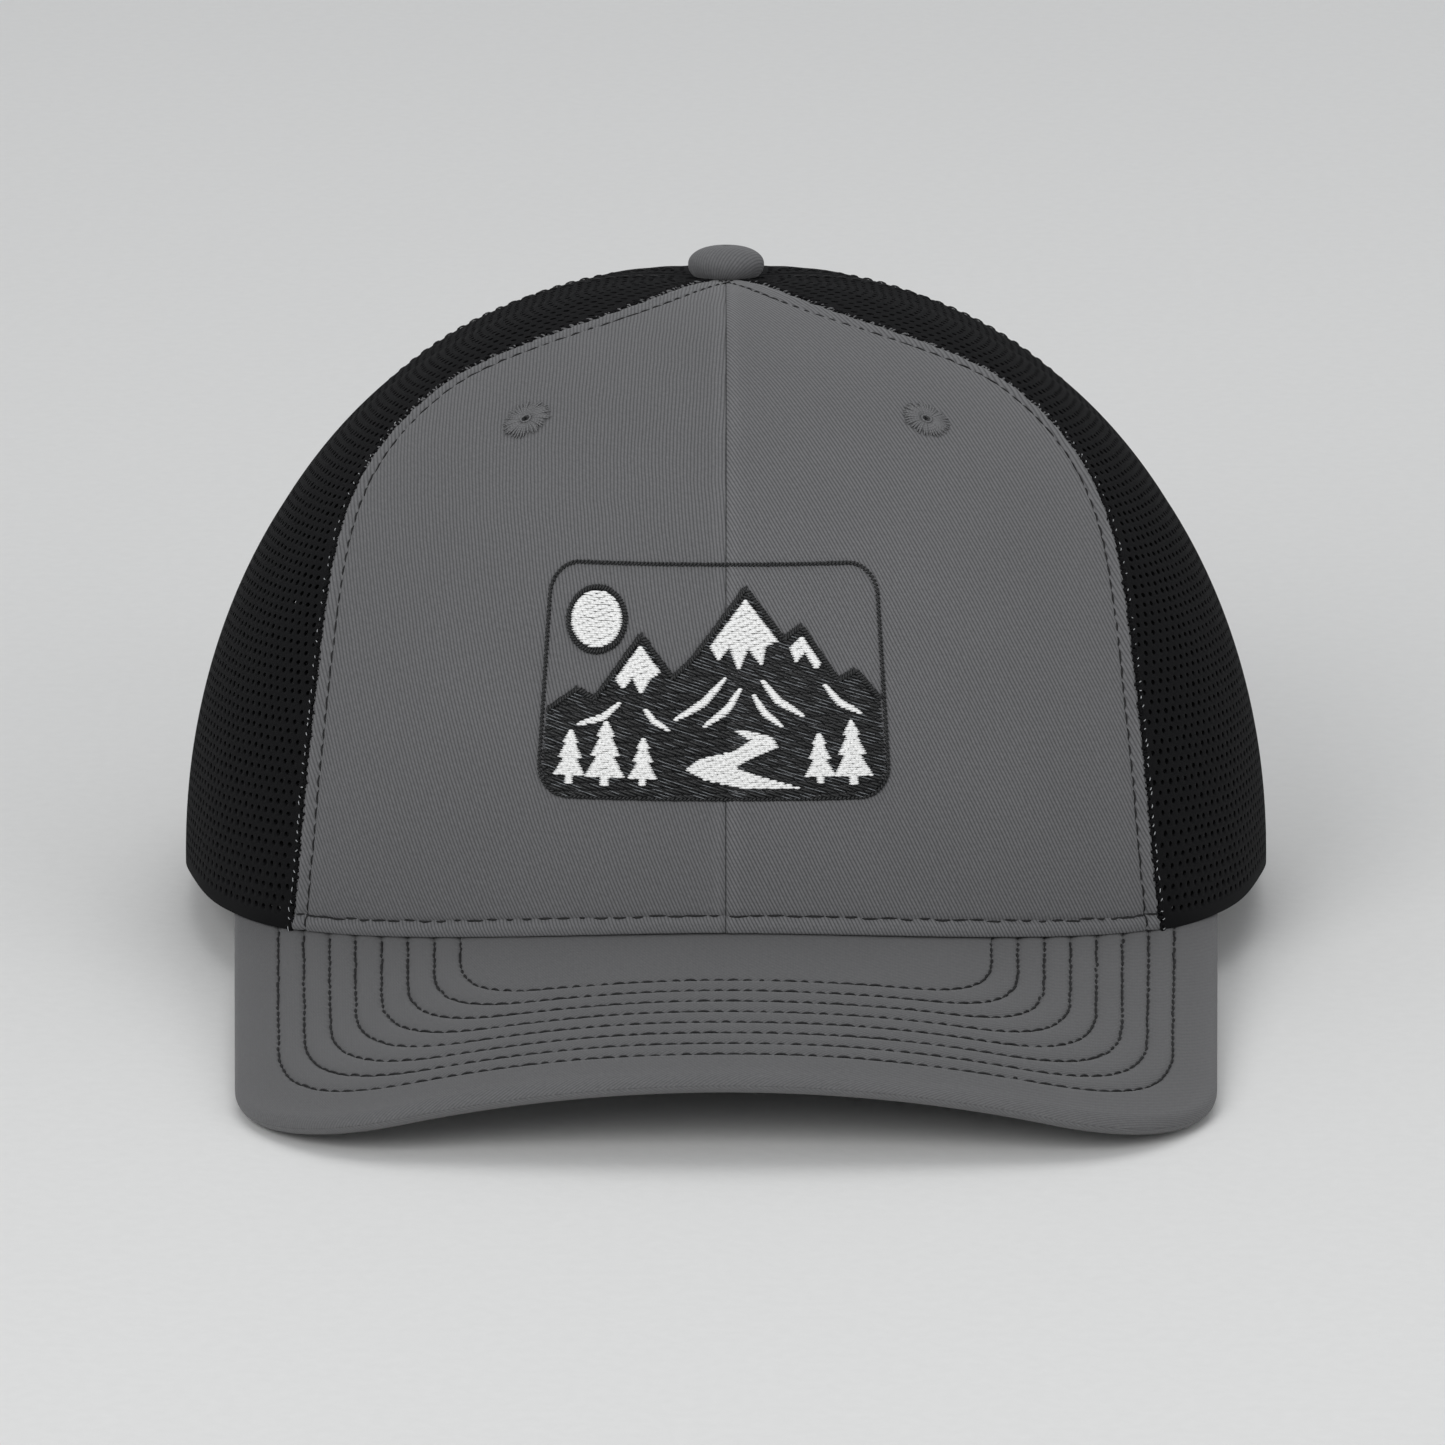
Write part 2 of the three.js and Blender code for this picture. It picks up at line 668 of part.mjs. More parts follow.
add('strap_holed', holedStrap(), STRAP_PLASTIC);
add('strap_holed_tab', strapTab(1), STRAP_PLASTIC);
add('strap_studded', studdedStrap(), STRAP_PLASTIC);
add('strap_studded_tab', strapTab(-1), STRAP_PLASTIC);

add('button_cover', atTop(buttonCover()), GREY_TWILL);
add('button_shell', atTop(buttonShell()), STEEL);
add('button_back_plate', atTop(backPlate()), STEEL);

// The origin is under the middle of the standing cap.
const group = new THREE.Group();
group.add(cap);
const box = new THREE.Box3().setFromObject(group, true);
const centre = box.getCenter(new THREE.Vector3());
cap.position.set(-centre.x, -centre.y, -box.min.z);

export default group;
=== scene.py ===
# The looks of the trucker cap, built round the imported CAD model.
# Shapes are worked out in millimetres in the plane of the cap's own rim, where the bill
# points along -Y, and world() turns them into the row frame in metres.
import json

import bpy
import numpy as np
from mathutils import Vector
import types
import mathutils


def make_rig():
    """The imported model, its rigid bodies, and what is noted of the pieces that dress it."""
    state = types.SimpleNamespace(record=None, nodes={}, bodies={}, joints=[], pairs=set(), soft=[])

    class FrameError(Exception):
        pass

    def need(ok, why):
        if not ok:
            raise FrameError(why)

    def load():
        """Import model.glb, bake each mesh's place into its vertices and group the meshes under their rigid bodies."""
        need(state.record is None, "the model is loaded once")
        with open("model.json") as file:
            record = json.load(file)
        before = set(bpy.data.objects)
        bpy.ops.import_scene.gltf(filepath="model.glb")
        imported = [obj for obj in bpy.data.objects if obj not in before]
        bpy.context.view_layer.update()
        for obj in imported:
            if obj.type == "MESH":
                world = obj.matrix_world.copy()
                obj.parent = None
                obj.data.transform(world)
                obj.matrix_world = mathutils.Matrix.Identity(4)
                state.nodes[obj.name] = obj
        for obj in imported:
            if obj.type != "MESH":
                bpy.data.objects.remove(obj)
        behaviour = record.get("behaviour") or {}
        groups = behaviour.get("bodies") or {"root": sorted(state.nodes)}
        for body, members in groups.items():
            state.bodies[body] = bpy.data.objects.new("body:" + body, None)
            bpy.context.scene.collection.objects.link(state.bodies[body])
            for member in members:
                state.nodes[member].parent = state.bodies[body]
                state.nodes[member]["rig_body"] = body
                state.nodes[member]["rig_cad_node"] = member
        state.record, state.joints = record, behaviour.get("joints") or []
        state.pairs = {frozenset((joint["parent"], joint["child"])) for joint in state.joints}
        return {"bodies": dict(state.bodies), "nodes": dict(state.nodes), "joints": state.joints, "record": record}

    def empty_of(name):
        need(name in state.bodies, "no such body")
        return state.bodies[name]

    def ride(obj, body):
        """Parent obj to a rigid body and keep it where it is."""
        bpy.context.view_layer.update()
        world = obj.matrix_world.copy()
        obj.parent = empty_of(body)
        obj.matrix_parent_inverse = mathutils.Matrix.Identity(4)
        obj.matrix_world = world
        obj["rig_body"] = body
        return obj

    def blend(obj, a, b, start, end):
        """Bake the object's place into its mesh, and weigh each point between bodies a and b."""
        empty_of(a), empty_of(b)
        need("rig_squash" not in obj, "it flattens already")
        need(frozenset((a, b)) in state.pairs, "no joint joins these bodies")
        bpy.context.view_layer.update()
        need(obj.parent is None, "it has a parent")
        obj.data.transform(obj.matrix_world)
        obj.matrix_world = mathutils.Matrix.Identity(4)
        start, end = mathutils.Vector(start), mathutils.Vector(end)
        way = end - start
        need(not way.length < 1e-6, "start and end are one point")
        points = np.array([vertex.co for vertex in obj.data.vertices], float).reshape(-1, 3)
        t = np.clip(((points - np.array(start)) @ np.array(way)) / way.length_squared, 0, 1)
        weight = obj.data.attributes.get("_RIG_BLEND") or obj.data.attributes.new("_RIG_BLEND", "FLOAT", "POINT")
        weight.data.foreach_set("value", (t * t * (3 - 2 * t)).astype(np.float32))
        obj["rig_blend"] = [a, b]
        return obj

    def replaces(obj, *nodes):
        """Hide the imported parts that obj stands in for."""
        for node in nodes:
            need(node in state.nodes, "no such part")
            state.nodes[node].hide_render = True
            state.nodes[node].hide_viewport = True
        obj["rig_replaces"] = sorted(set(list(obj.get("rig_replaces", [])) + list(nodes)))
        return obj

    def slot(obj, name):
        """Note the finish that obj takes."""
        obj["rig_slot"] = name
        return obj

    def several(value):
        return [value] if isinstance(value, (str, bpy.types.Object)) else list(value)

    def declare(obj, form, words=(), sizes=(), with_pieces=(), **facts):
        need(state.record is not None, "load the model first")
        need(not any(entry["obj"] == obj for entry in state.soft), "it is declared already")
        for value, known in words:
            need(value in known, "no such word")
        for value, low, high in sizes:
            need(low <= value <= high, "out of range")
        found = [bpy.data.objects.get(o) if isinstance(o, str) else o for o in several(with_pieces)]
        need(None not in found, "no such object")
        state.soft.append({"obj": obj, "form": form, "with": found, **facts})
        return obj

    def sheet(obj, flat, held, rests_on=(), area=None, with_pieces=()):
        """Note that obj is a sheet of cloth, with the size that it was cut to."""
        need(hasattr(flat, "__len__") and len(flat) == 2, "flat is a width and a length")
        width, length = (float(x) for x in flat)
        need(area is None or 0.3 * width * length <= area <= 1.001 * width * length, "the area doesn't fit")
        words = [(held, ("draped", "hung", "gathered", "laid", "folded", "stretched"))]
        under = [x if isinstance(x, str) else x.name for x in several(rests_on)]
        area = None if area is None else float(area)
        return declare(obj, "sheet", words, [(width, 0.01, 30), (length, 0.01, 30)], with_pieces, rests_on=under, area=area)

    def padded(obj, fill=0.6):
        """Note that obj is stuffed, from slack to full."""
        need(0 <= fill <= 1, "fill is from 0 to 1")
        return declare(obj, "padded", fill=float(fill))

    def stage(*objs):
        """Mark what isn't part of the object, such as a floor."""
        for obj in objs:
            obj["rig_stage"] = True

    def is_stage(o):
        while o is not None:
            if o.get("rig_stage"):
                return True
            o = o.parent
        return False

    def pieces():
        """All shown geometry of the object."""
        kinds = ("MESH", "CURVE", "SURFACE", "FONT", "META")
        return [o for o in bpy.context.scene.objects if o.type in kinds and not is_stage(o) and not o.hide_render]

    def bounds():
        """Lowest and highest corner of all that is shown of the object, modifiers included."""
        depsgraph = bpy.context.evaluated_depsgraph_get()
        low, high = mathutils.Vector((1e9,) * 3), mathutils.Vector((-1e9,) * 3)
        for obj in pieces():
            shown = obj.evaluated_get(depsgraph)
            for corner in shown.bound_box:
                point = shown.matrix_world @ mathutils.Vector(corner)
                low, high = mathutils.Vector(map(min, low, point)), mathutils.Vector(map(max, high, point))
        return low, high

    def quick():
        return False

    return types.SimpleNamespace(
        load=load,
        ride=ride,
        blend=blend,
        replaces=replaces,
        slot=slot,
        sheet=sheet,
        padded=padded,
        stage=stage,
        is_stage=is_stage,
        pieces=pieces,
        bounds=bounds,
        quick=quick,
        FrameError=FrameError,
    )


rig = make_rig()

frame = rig.load()
cad_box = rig.bounds()
rng = np.random.default_rng(7)
rad = np.radians
PI = np.pi
MIRROR = np.array([-1, 1])

# ---------------------------------------------------------------- the crown's surface
HALF, FRONT, REAR, PLAN = 92.0, 97.0, 99.0, 2.2
HEIGHT, TOP_SHIFT = 95.0, 2.0
POWER_FRONT, POWER_SIDE, POWER_REAR = 2.37, 2.1, 2.2
REAR_RIM, GAP, TOP_HOLE = -3.5, 0.3, 2.2
SAG, SAG_AT, SAG_WIDTH = 3.0, rad(88), rad(22)
DIMPLE, DIMPLE_RADIUS = 1.2, 14.0
BEND, SLOPE, DROP, NARROWING = 228.0, rad(12), 1.3, 0.00053
BILL_HALF, BILL_LENGTH, CORNER, NOSE_ARC = 82.3, 57.6, 29.0, 2000.0
TUCK, BILL_THICK, BILL_CLOTH = 4.0, 3.4, 0.5
REAR_SEAM = rad(116)
INSIDE = (0.01, 1.55)  # rises short of the rim and of the top
ARCH_HALF, ARCH_MID, ARCH_TALL, BINDING = 45.0, 4.0, 43.0, 8.0
STRAP_BEND, HINGE, TIP, TAB_END = 106.0, 43.5, 21.0, 60.0
STRAP_LOW, STRAP_WIDE, STRAP_THICK = -1.2, 19.0, 1.2
STATIONS = (-15.0, -5.0, 5.0, 15.0, 25.0, 35.0)
HALF_PITCH, TIP_ROUND, STRAP_HOLE = 5.0, 5.0, 2.4
STRAP_MIDDLE, STRAP_HALF = STRAP_LOW + STRAP_WIDE / 2, STRAP_WIDE / 2
FAR = 99.0  # further from an edge than any roll or bead reaches


def smooth(a, b, t):
    s = np.clip((t - a) / (b - a), 0, 1)
    return s * s * (3 - 2 * s)


def bump_at(x, centre, width):
    return np.exp(-(((x - centre) / width) ** 2))


def ripple(x, length, shift=0.0):
    return np.sin(2 * PI * x / length + shift)


def bill_height(x, y):
    bend = BEND - np.sqrt(BEND**2 - x * x)
    q = (-FRONT - y + bend * np.sin(SLOPE)) / np.cos(SLOPE)
    return -DROP - q * np.sin(SLOPE) - bend * np.cos(SLOPE)


def rim_radius(t, d):
    length = np.where(np.cos(t) > 0, FRONT, REAR) - d
    across = (np.abs(np.sin(t)) / (HALF - d)) ** PLAN
    return (across + (np.abs(np.cos(t)) / length) ** PLAN) ** (-1 / PLAN)


def rim_height(t, d):
    r = rim_radius(t, d)
    on_bill = bill_height(r * np.sin(t), -r * np.cos(t)) + GAP
    level = smooth(rad(62), rad(100), np.abs(t))
    return on_bill * (1 - level) + (REAR_RIM - SAG * bump_at(np.abs(t), SAG_AT, SAG_WIDTH)) * level


def power(t):
    c = np.cos(t)
    return POWER_SIDE + (np.where(c > 0, POWER_FRONT, POWER_REAR) - POWER_SIDE) * np.abs(c)


def crown(t, f, d):
    t, f, d = np.broadcast_arrays(*(np.asarray(x, float) for x in (t, f, d)))
    f = np.clip(f, 0, PI / 2)
    p = 2 / power(t)
    r = rim_radius(t, d) * np.cos(f) ** p
    rim = rim_height(t, d)
    z = rim + (HEIGHT - d - rim) * np.sin(f) ** p - DIMPLE * bump_at(r, 0, DIMPLE_RADIUS)
    return np.stack([r * np.sin(t), -r * np.cos(t) + TOP_SHIFT * np.sin(f) ** 2, z], -1)


def unit(v):
    return v / np.maximum(np.linalg.norm(v, axis=-1, keepdims=True), 1e-12)


def crown_normal(t, f):
    e = 1e-3
    f = np.clip(f, 2 * e, PI / 2 - 2 * e)
    along = crown(t + e, f, 0) - crown(t - e, f, 0)
    return unit(np.cross(along, crown(t, f + e, 0) - crown(t, f - e, 0)))


def plan_radius(t, f, d=0.0):
    return rim_radius(t, d) * np.cos(f) ** (2 / power(t))


def rise_at(t, z, d):
    rim = rim_height(t, d)
    return np.arcsin(np.clip((z - rim) / (HEIGHT - d - rim), 0, 1) ** (power(t) / 2))


def rise_at_radius(t, radius):
    return np.arccos((radius / rim_radius(t, 0)) ** (power(t) / 2))


def angle_at(x, z, d, front=True):
    """The angle at which the front or rear half has this x at this height."""
    low, high = np.zeros_like(x), np.full_like(x, PI / 2)
    for _ in range(30):
        middle = (low + high) / 2
        t = middle if front else PI - middle
        less = crown(t, rise_at(t, z, d), d)[..., 0] < np.abs(x)
        low, high = np.where(less, middle, low), np.where(less, high, middle)
    return np.sign(x) * (low if front else PI - low)


def front_seam(f):
    shoulder = rad(12) * bump_at(f, rad(50), rad(21)) - rad(20) * smooth(rad(56), rad(82), f)
    return rad(46) + rad(1.7) * np.exp(-f / rad(5)) + shoulder


def rear_seam(f):
    return REAR_SEAM + 0 * f


def front_centre(f):
    return 0 * f


def back_seam(f):
    return PI + 0 * f


def slant(seam, f):
    """How much longer a strip beside a seam is along the level than square to the seam."""
    e = 1e-3
    along = unit(crown(seam(f + e), f + e, 0) - crown(seam(f - e), f - e, 0))
    level = unit(crown(seam(f) + e, f, 0) - crown(seam(f) - e, f, 0))
    return 1 / np.sqrt(np.maximum(1 - (along * level).sum(-1) ** 2, 0.15))


# ---------------------------------------------------------------- the bill's surface
def bill_front(p):
    across = BILL_HALF - CORNER
    middle = BILL_LENGTH - NOSE_ARC
    along = middle + np.sqrt((NOSE_ARC - CORNER) ** 2 - across**2)
    tangent = across * NOSE_ARC / (NOSE_ARC - CORNER)
    x = np.abs(p)
    arc = middle + np.sqrt(NOSE_ARC**2 - x**2)
    return np.where(x < tangent, arc, along + np.sqrt(np.maximum(0, CORNER**2 - (x - across) ** 2)))


def bill_back(p):
    q = 0.0 * p
    for _ in range(6):
        turn_by = bill_turn(p, q)
        share = (np.abs(BEND * np.sin(turn_by)) / (HALF - TUCK)) ** PLAN
        y = -(FRONT - TUCK) * (1 - share) ** (1 / PLAN)
        bend = BEND * (1 - np.cos(turn_by))
        q = (-FRONT - y + bend * np.sin(SLOPE)) / np.cos(SLOPE)
    return q


def bill_turn(p, q):
    return p * (1 - NARROWING * q) / BEND


def bill_point(p, q, d):
    r = BEND - d
    turn_by = bill_turn(p, q)
    bend = BEND - r * np.cos(turn_by)
    y = -FRONT - q * np.cos(SLOPE) + bend * np.sin(SLOPE)
    return np.stack([r * np.sin(turn_by), y, -DROP - q * np.sin(SLOPE) - bend * np.cos(SLOPE)], -1)


# ---------------------------------------------------------------- the straps' surface
def strap_point(s, z, d):
    y = REAR - STRAP_BEND + STRAP_BEND * np.cos(s / STRAP_BEND)
    t = np.arctan2(STRAP_BEND * np.sin(s / STRAP_BEND), -y)
    return crown(t, rise_at(t, z, d), d)


def strap_depth(s, lift):
    return lift + (1.7 - lift) * smooth(TIP + 3, HINGE, s)


# ---------------------------------------------------------------- the row frame
def rest_tilt():
    heel = crown(PI - np.arctan2(ARCH_HALF, REAR), 0, -0.6) + np.array([0, 0, 1.0])
    p = BILL_HALF * np.sin(PI / 2 * np.linspace(0, 1, 201))
    low = bill_point(p, bill_front(p), BILL_THICK)
    return np.max(np.arctan2(heel[2] - low[:, 2], heel[1] - low[:, 1]))


TILT = rest_tilt()


def turn(v):
    v = np.asarray(v, float)
    c, s = np.cos(TILT), np.sin(TILT)
    return np.stack([v[..., 0], v[..., 1] * c + v[..., 2] * s, v[..., 2] * c - v[..., 1] * s], -1)


hinge_ends = [strap_point(HINGE, z, 1.7) for z in (STRAP_LOW, STRAP_LOW + STRAP_WIDE)]
ORIGIN = np.array(frame["joints"][0]["pos_m"]) * 1000 - turn(sum(hinge_ends) / 2)


def world(points):
    return (turn(points) + ORIGIN) / 1000


# ---------------------------------------------------------------- meshes
def make(name, points, faces, material, uv=None, body="crown", slot=None, sharp=45, wear=None):
    """A mesh object from rim-frame points and a list of face index arrays. uv is in
    millimetres of cloth, one pair a point, or one array a face array."""
    mesh = bpy.data.meshes.new(name)
    xyz = world(points).astype(np.float32)
    faces = [np.asarray(f) for f in faces if len(f)]
    corner = np.concatenate([f.ravel() for f in faces]).astype(np.int32)
    count = np.concatenate([np.full(len(f), f.shape[1]) for f in faces])
    start = np.concatenate([[0], np.cumsum(count)[:-1]]).astype(np.int32)
    mesh.vertices.add(len(xyz))
    mesh.vertices.foreach_set("co", xyz.ravel())
    mesh.loops.add(len(corner))
    mesh.loops.foreach_set("vertex_index", corner)
    mesh.polygons.add(len(count))
    mesh.polygons.foreach_set("loop_start", start)
    mesh.update(calc_edges=True)
    if uv is not None:
        flat = np.concatenate([u.reshape(-1, 2) for u in uv]) if isinstance(uv, list) else uv[corner]
        layer = mesh.uv_layers.new(name="cloth")
        layer.data.foreach_set("uv", np.ascontiguousarray(flat, np.float32).ravel())
    # the per-point painted highlight mark, which makes the twill lighter on raised edges
    if wear is not None:
        mesh.attributes.new("wear", "FLOAT", "POINT").data.foreach_set("value", wear.astype(np.float32))
    mesh.validate()
    mesh.polygons.foreach_set("use_smooth", np.ones(len(mesh.polygons), bool))
    mesh.set_sharp_from_angle(angle=rad(sharp))
    mesh.materials.append(material)
    obj = bpy.data.objects.new(name, mesh)
    bpy.context.scene.collection.objects.link(obj)
    if body:
        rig.ride(obj, body)
    if slot:
        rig.slot(obj, slot)
    return obj


def grid_faces(rows, columns):
    n = np.arange(rows * columns).reshape(rows, columns)
    return np.stack([n[:-1, :-1], n[:-1, 1:], n[1:, 1:], n[1:, :-1]], -1).reshape(-1, 4)


def thicken(faces, outer, inner):
    """Closes a skin of faces with a second side and walls."""
    n = len(outer)
    closed, edges = [], []
    for f in faces:
        closed += [f, f[:, ::-1] + n]
        edges += [np.stack([f[:, k], np.roll(f, -1, 1)[:, k]], 1) for k in range(f.shape[1])]
    edges = np.concatenate(edges)
    key = edges.min(1) * n + edges.max(1)
    _, first, many = np.unique(key, return_index=True, return_counts=True)
    rim = edges[first[many == 1]]
    closed.append(np.stack([rim[:, 1], rim[:, 0], rim[:, 0] + n, rim[:, 1] + n], 1))
    return tidy(np.concatenate([outer, inner]), closed)


def tidy(points, faces, weld=2e-4):
    """Welds points that meet, drops faces that vanish, and turns the skin outwards."""
    grid = np.round(points / weld).astype(np.int64)
    _, first, back = np.unique(grid, axis=0, return_index=True, return_inverse=True)
    back = first[back.ravel()]
    kept = []
    for f in faces:
        f = back[f]
        if f.shape[1] == 4:
            same = [f[:, k] == np.roll(f, -1, 1)[:, k] for k in range(4)]
            folds = sum(s.astype(int) for s in same)
            for k in range(4):
                pick = same[k] & (folds == 1)
                kept.append(np.delete(f[pick], (k + 1) % 4, axis=1))
            good = (folds == 0) & (f[:, 0] != f[:, 2]) & (f[:, 1] != f[:, 3])
            kept.append(f[good])
        else:
            kept.append(f[(f[:, 0] != f[:, 1]) & (f[:, 1] != f[:, 2]) & (f[:, 2] != f[:, 0])])
    faces = [f for f in kept if len(f)]
    size = 0.0
    for f in faces:
        for k in range(1, f.shape[1] - 1):
            a, b, c = points[f[:, 0]], points[f[:, k]], points[f[:, k + 1]]
            size += np.einsum("ij,ij->i", a, np.cross(b, c)).sum()
    if size < 0:
        faces = [f[:, ::-1] for f in faces]
    used = np.zeros(len(points), bool)
    for f in faces:
        used[f] = True
    place = np.cumsum(used) - 1
    return points[used], [place[f] for f in faces], used


def edge_dip(distance, radius):
    """How far the face of cloth rolls in at this distance from its edge."""
    x = 1 - np.clip(distance / radius, 0, 1)
    return radius * (1 - np.sqrt(np.maximum(1 - x * x, 0)))


def twofold(a):
    """Per-point values for both sides of a thickened skin."""
    return np.concatenate([a, a])


def skin(name, outer, inner, flat, material, keep=None, wear=None, **more):
    """A closed sheet between two grids of points. flat is their place on the cloth, in mm,
    and keep leaves out the cells where it is False."""
    faces = grid_faces(*outer.shape[:2])
    if keep is not None:
        faces = faces[keep.ravel()]
    points, faces, used = thicken([faces], outer.reshape(-1, 3), inner.reshape(-1, 3))
    highlit = None if wear is None else twofold(wear.ravel())[used]
    return make(name, points, faces, material, uv=twofold(flat.reshape(-1, 2))[used], wear=highlit, **more)


def cloth(name, place, depth, thick, a, b, material, relief=0.0, edge=None, uv=None, **more):
    """A sheet whose points place(depth) gives, with a and b its millimetres both ways. Its
    faces roll in towards the edge, a distance for each point."""
    dip = 0.0 if edge is None else edge_dip(edge, thick / 2)
    outer, inner = place(depth - relief + dip), place(depth + thick - relief - dip)
    return skin(name, outer, inner, np.stack([a, b], -1) if uv is None else uv, material, **more)


def arc(points):
    """Running length along the last-but-one axis."""
    step = np.linalg.norm(np.diff(points, axis=-2), axis=-1)
    return np.concatenate([np.zeros(step.shape[:-1] + (1,)), np.cumsum(step, -1)], -1)


def sample(at, run, line):
    """The points of a line at these distances along it; run is its running length."""
    return np.stack([np.interp(at, run, line[:, k]) for k in range(line.shape[1])], -1)


def spaced(line, n):
    """The same line at n evenly spaced points."""
    run = arc(line)
    return sample(np.linspace(0, run[-1], n), run, line)


def curve(a, b, c, n):
    """The points after a on a curve that leaves a towards b and ends at c."""
    s = np.linspace(0, 1, n)[1:, None]
    return (1 - s) ** 2 * a + 2 * s * (1 - s) * b + s**2 * c


def sideways(along):
    """Directions of a flat line turned a quarter to the left."""
    return np.stack([-along[:, 1], along[:, 0]], -1)


def mirrored(half):
    """A line from a side to the centre, carried on to the other side."""
    return np.concatenate([half[:-1], half[::-1] * MIRROR])


def on_crown(t, f, depth, inside=False):
    """Points at a depth in the crown, and the normals that face out of it or into it."""
    normal = crown_normal(t, f)
    return crown(t, f, depth), -normal if inside else normal


def metric(t, f):
    """Millimetres along the crown for each radian of angle."""
    return np.linalg.norm(crown(t + 1e-3, f, 0) - crown(t, f, 0), axis=-1) / 1e-3


def seam_grid(seam, near, far, middle):
    """Columns from the centre to a seam of the crown at fixed distances from each, in mm,
    with the rest spaced evenly. Returns angles, and distances from the centre."""
    angles, across = [], []
    near, far = np.array(near), np.array(far)
    for f in rises:
        t = np.linspace(0.0, seam(f), 160)
        run = arc(crown(t, f, 0))
        wide = run[-1]
        lean = slant(seam, np.clip(f, *INSIDE))
        share = min(1.0, wide / (2.5 * (near[-1] + far[-1] * lean)))
        left, right = near * share, wide - far[::-1] * share * lean
        a = np.concatenate([left, np.linspace(left[-1], right[0], middle + 2)[1:-1], right])
        angles.append(np.interp(a, run, t))
        across.append(a)
    return np.array(angles), np.array(across)


def rise_rows(t, top, marks, step):
    """Rises from the rim to the top at marks mm above the rim, then every step mm."""
    f = np.linspace(0, top, 400)
    run = arc(crown(np.full_like(f, t), f, 0))
    rest = np.linspace(marks[-1], run[-1], max(2, int((run[-1] - marks[-1]) / step)))[1:]
    up = np.concatenate([marks, rest])
    return np.interp(up, run, f), up


# ---------------------------------------------------------------- materials
class Nodes:
    """Short names for building a node material."""

    def __init__(self, name):
        self.material = bpy.data.materials.new(name)
        self.material.use_nodes = True
        self.tree = self.material.node_tree
        self.shader = self.tree.nodes["Principled BSDF"]

    def add(self, kind, **sockets):
        node = self.tree.nodes.new(kind)
        for key, value in sockets.items():
            self.put(node.inputs[key.replace("_", " ")], value)
        return node

    def put(self, socket, value):
        if isinstance(value, bpy.types.NodeSocket):
            self.tree.links.new(value, socket)
        else:
            socket.default_value = value

    def math(self, operation, *values):
        node = self.tree.nodes.new("ShaderNodeMath")
        node.operation = operation
        for socket, value in zip(node.inputs, values):
            self.put(socket, value)
        return node.outputs[0]

    def cloth_uv(self):
        node = self.tree.nodes.new("ShaderNodeUVMap")
        node.uv_map = "cloth"
        return node.outputs[0]

    def split(self, vector):
        return self.add("ShaderNodeSeparateXYZ", Vector=vector).outputs[:2]

    def noise(self, vector, scale, detail=2.0):
        node = self.add("ShaderNodeTexNoise", Vector=vector, Scale=scale, Detail=detail)
        return node.outputs["Fac"]

    def between(self, factor, low, high):
        """Maps 0..1 to low..high."""
        node = self.add("ShaderNodeMapRange", Value=factor)
        node.inputs["To Min"].default_value = low
        node.inputs["To Max"].default_value = high
        return node.outputs[0]

    def ridge(self, x, sharpness):
        """Rounded ridges, one for each unit of x."""
        wave = self.math("ABSOLUTE", self.math("SINE", self.math("MULTIPLY", x, PI)))
        return self.math("POWER", wave, sharpness)

    def tint(self, colour, *factors):
        total = factors[0]
        for other in factors[1:]:
            total = self.math("MULTIPLY", total, other)
        node = self.add("ShaderNodeVectorMath", Vector=(0, 0, 0))
        node.operation = "SCALE"
        node.inputs[0].default_value = colour
        self.put(node.inputs["Scale"], total)
        return node.outputs[0]

    def finish(self, colour, height=None, bump=0.0001, strength=1.0, rough=0.9, **fixed):
        self.put(self.shader.inputs["Base Color"], colour)
        self.put(self.shader.inputs["Roughness"], rough)
        for key, value in fixed.items():
            self.shader.inputs[key.replace("_", " ")].default_value = value
        if height is not None:
            node = self.add("ShaderNodeBump", Strength=strength, Distance=bump, Height=height)
            self.put(self.shader.inputs["Normal"], node.outputs[0])
        return self.material


def twill(name, grey, angle, pitch, contrast, highlit=False):
    """Twill: diagonal ribs of short floats, heathered yarn, and soft mottling, and where asked a painted highlight on
    the raised edges.
    """
    n = Nodes(name)
    uv = n.cloth_uv()
    u, v = n.split(uv)
    warp = n.math("MULTIPLY", n.noise(uv, 0.12, 3), 0.9)
    across = n.math("SUBTRACT", n.math("MULTIPLY", u, np.sin(angle)), n.math("MULTIPLY", v, np.cos(angle)))
    along = n.math("ADD", n.math("MULTIPLY", u, np.cos(angle)), n.math("MULTIPLY", v, np.sin(angle)))
    line = n.math("ADD", n.math("DIVIDE", across, pitch), warp)
    rib = n.ridge(line, 0.8)
    stagger = n.math("MULTIPLY", n.math("FLOOR", line), 0.37)
    yarn = n.ridge(n.math("ADD", n.math("DIVIDE", along, pitch * 1.1), stagger), 0.6)
    heather = n.noise(uv, 1.5, 4)
    height = n.math("ADD", n.math("MULTIPLY", rib, 0.75), n.math("MULTIPLY", yarn, 0.25))
    factors = [
        n.between(rib, 1 - contrast, 1 + contrast),
        n.between(yarn, 0.96, 1.04),
        n.between(heather, 0.76, 1.24),
        n.between(n.noise(uv, 0.05, 3), 0.94, 1.06),
    ]
    # painted highlight: the twill is made up to 16% lighter where the per-point mark is high, on the raised rolled
    # edges
    if highlit:
        wear = n.add("ShaderNodeAttribute")
        wear.attribute_name = "wear"
        factors.append(n.between(wear.outputs["Fac"], 1.0, 1.16))
    return n.finish(
        n.tint(grey, *factors), height, 0.00012, 0.55, n.between(heather, 0.82, 0.98),
        Sheen_Weight=0.12, Sheen_Roughness=0.5, Specular_IOR_Level=0.25,
    )


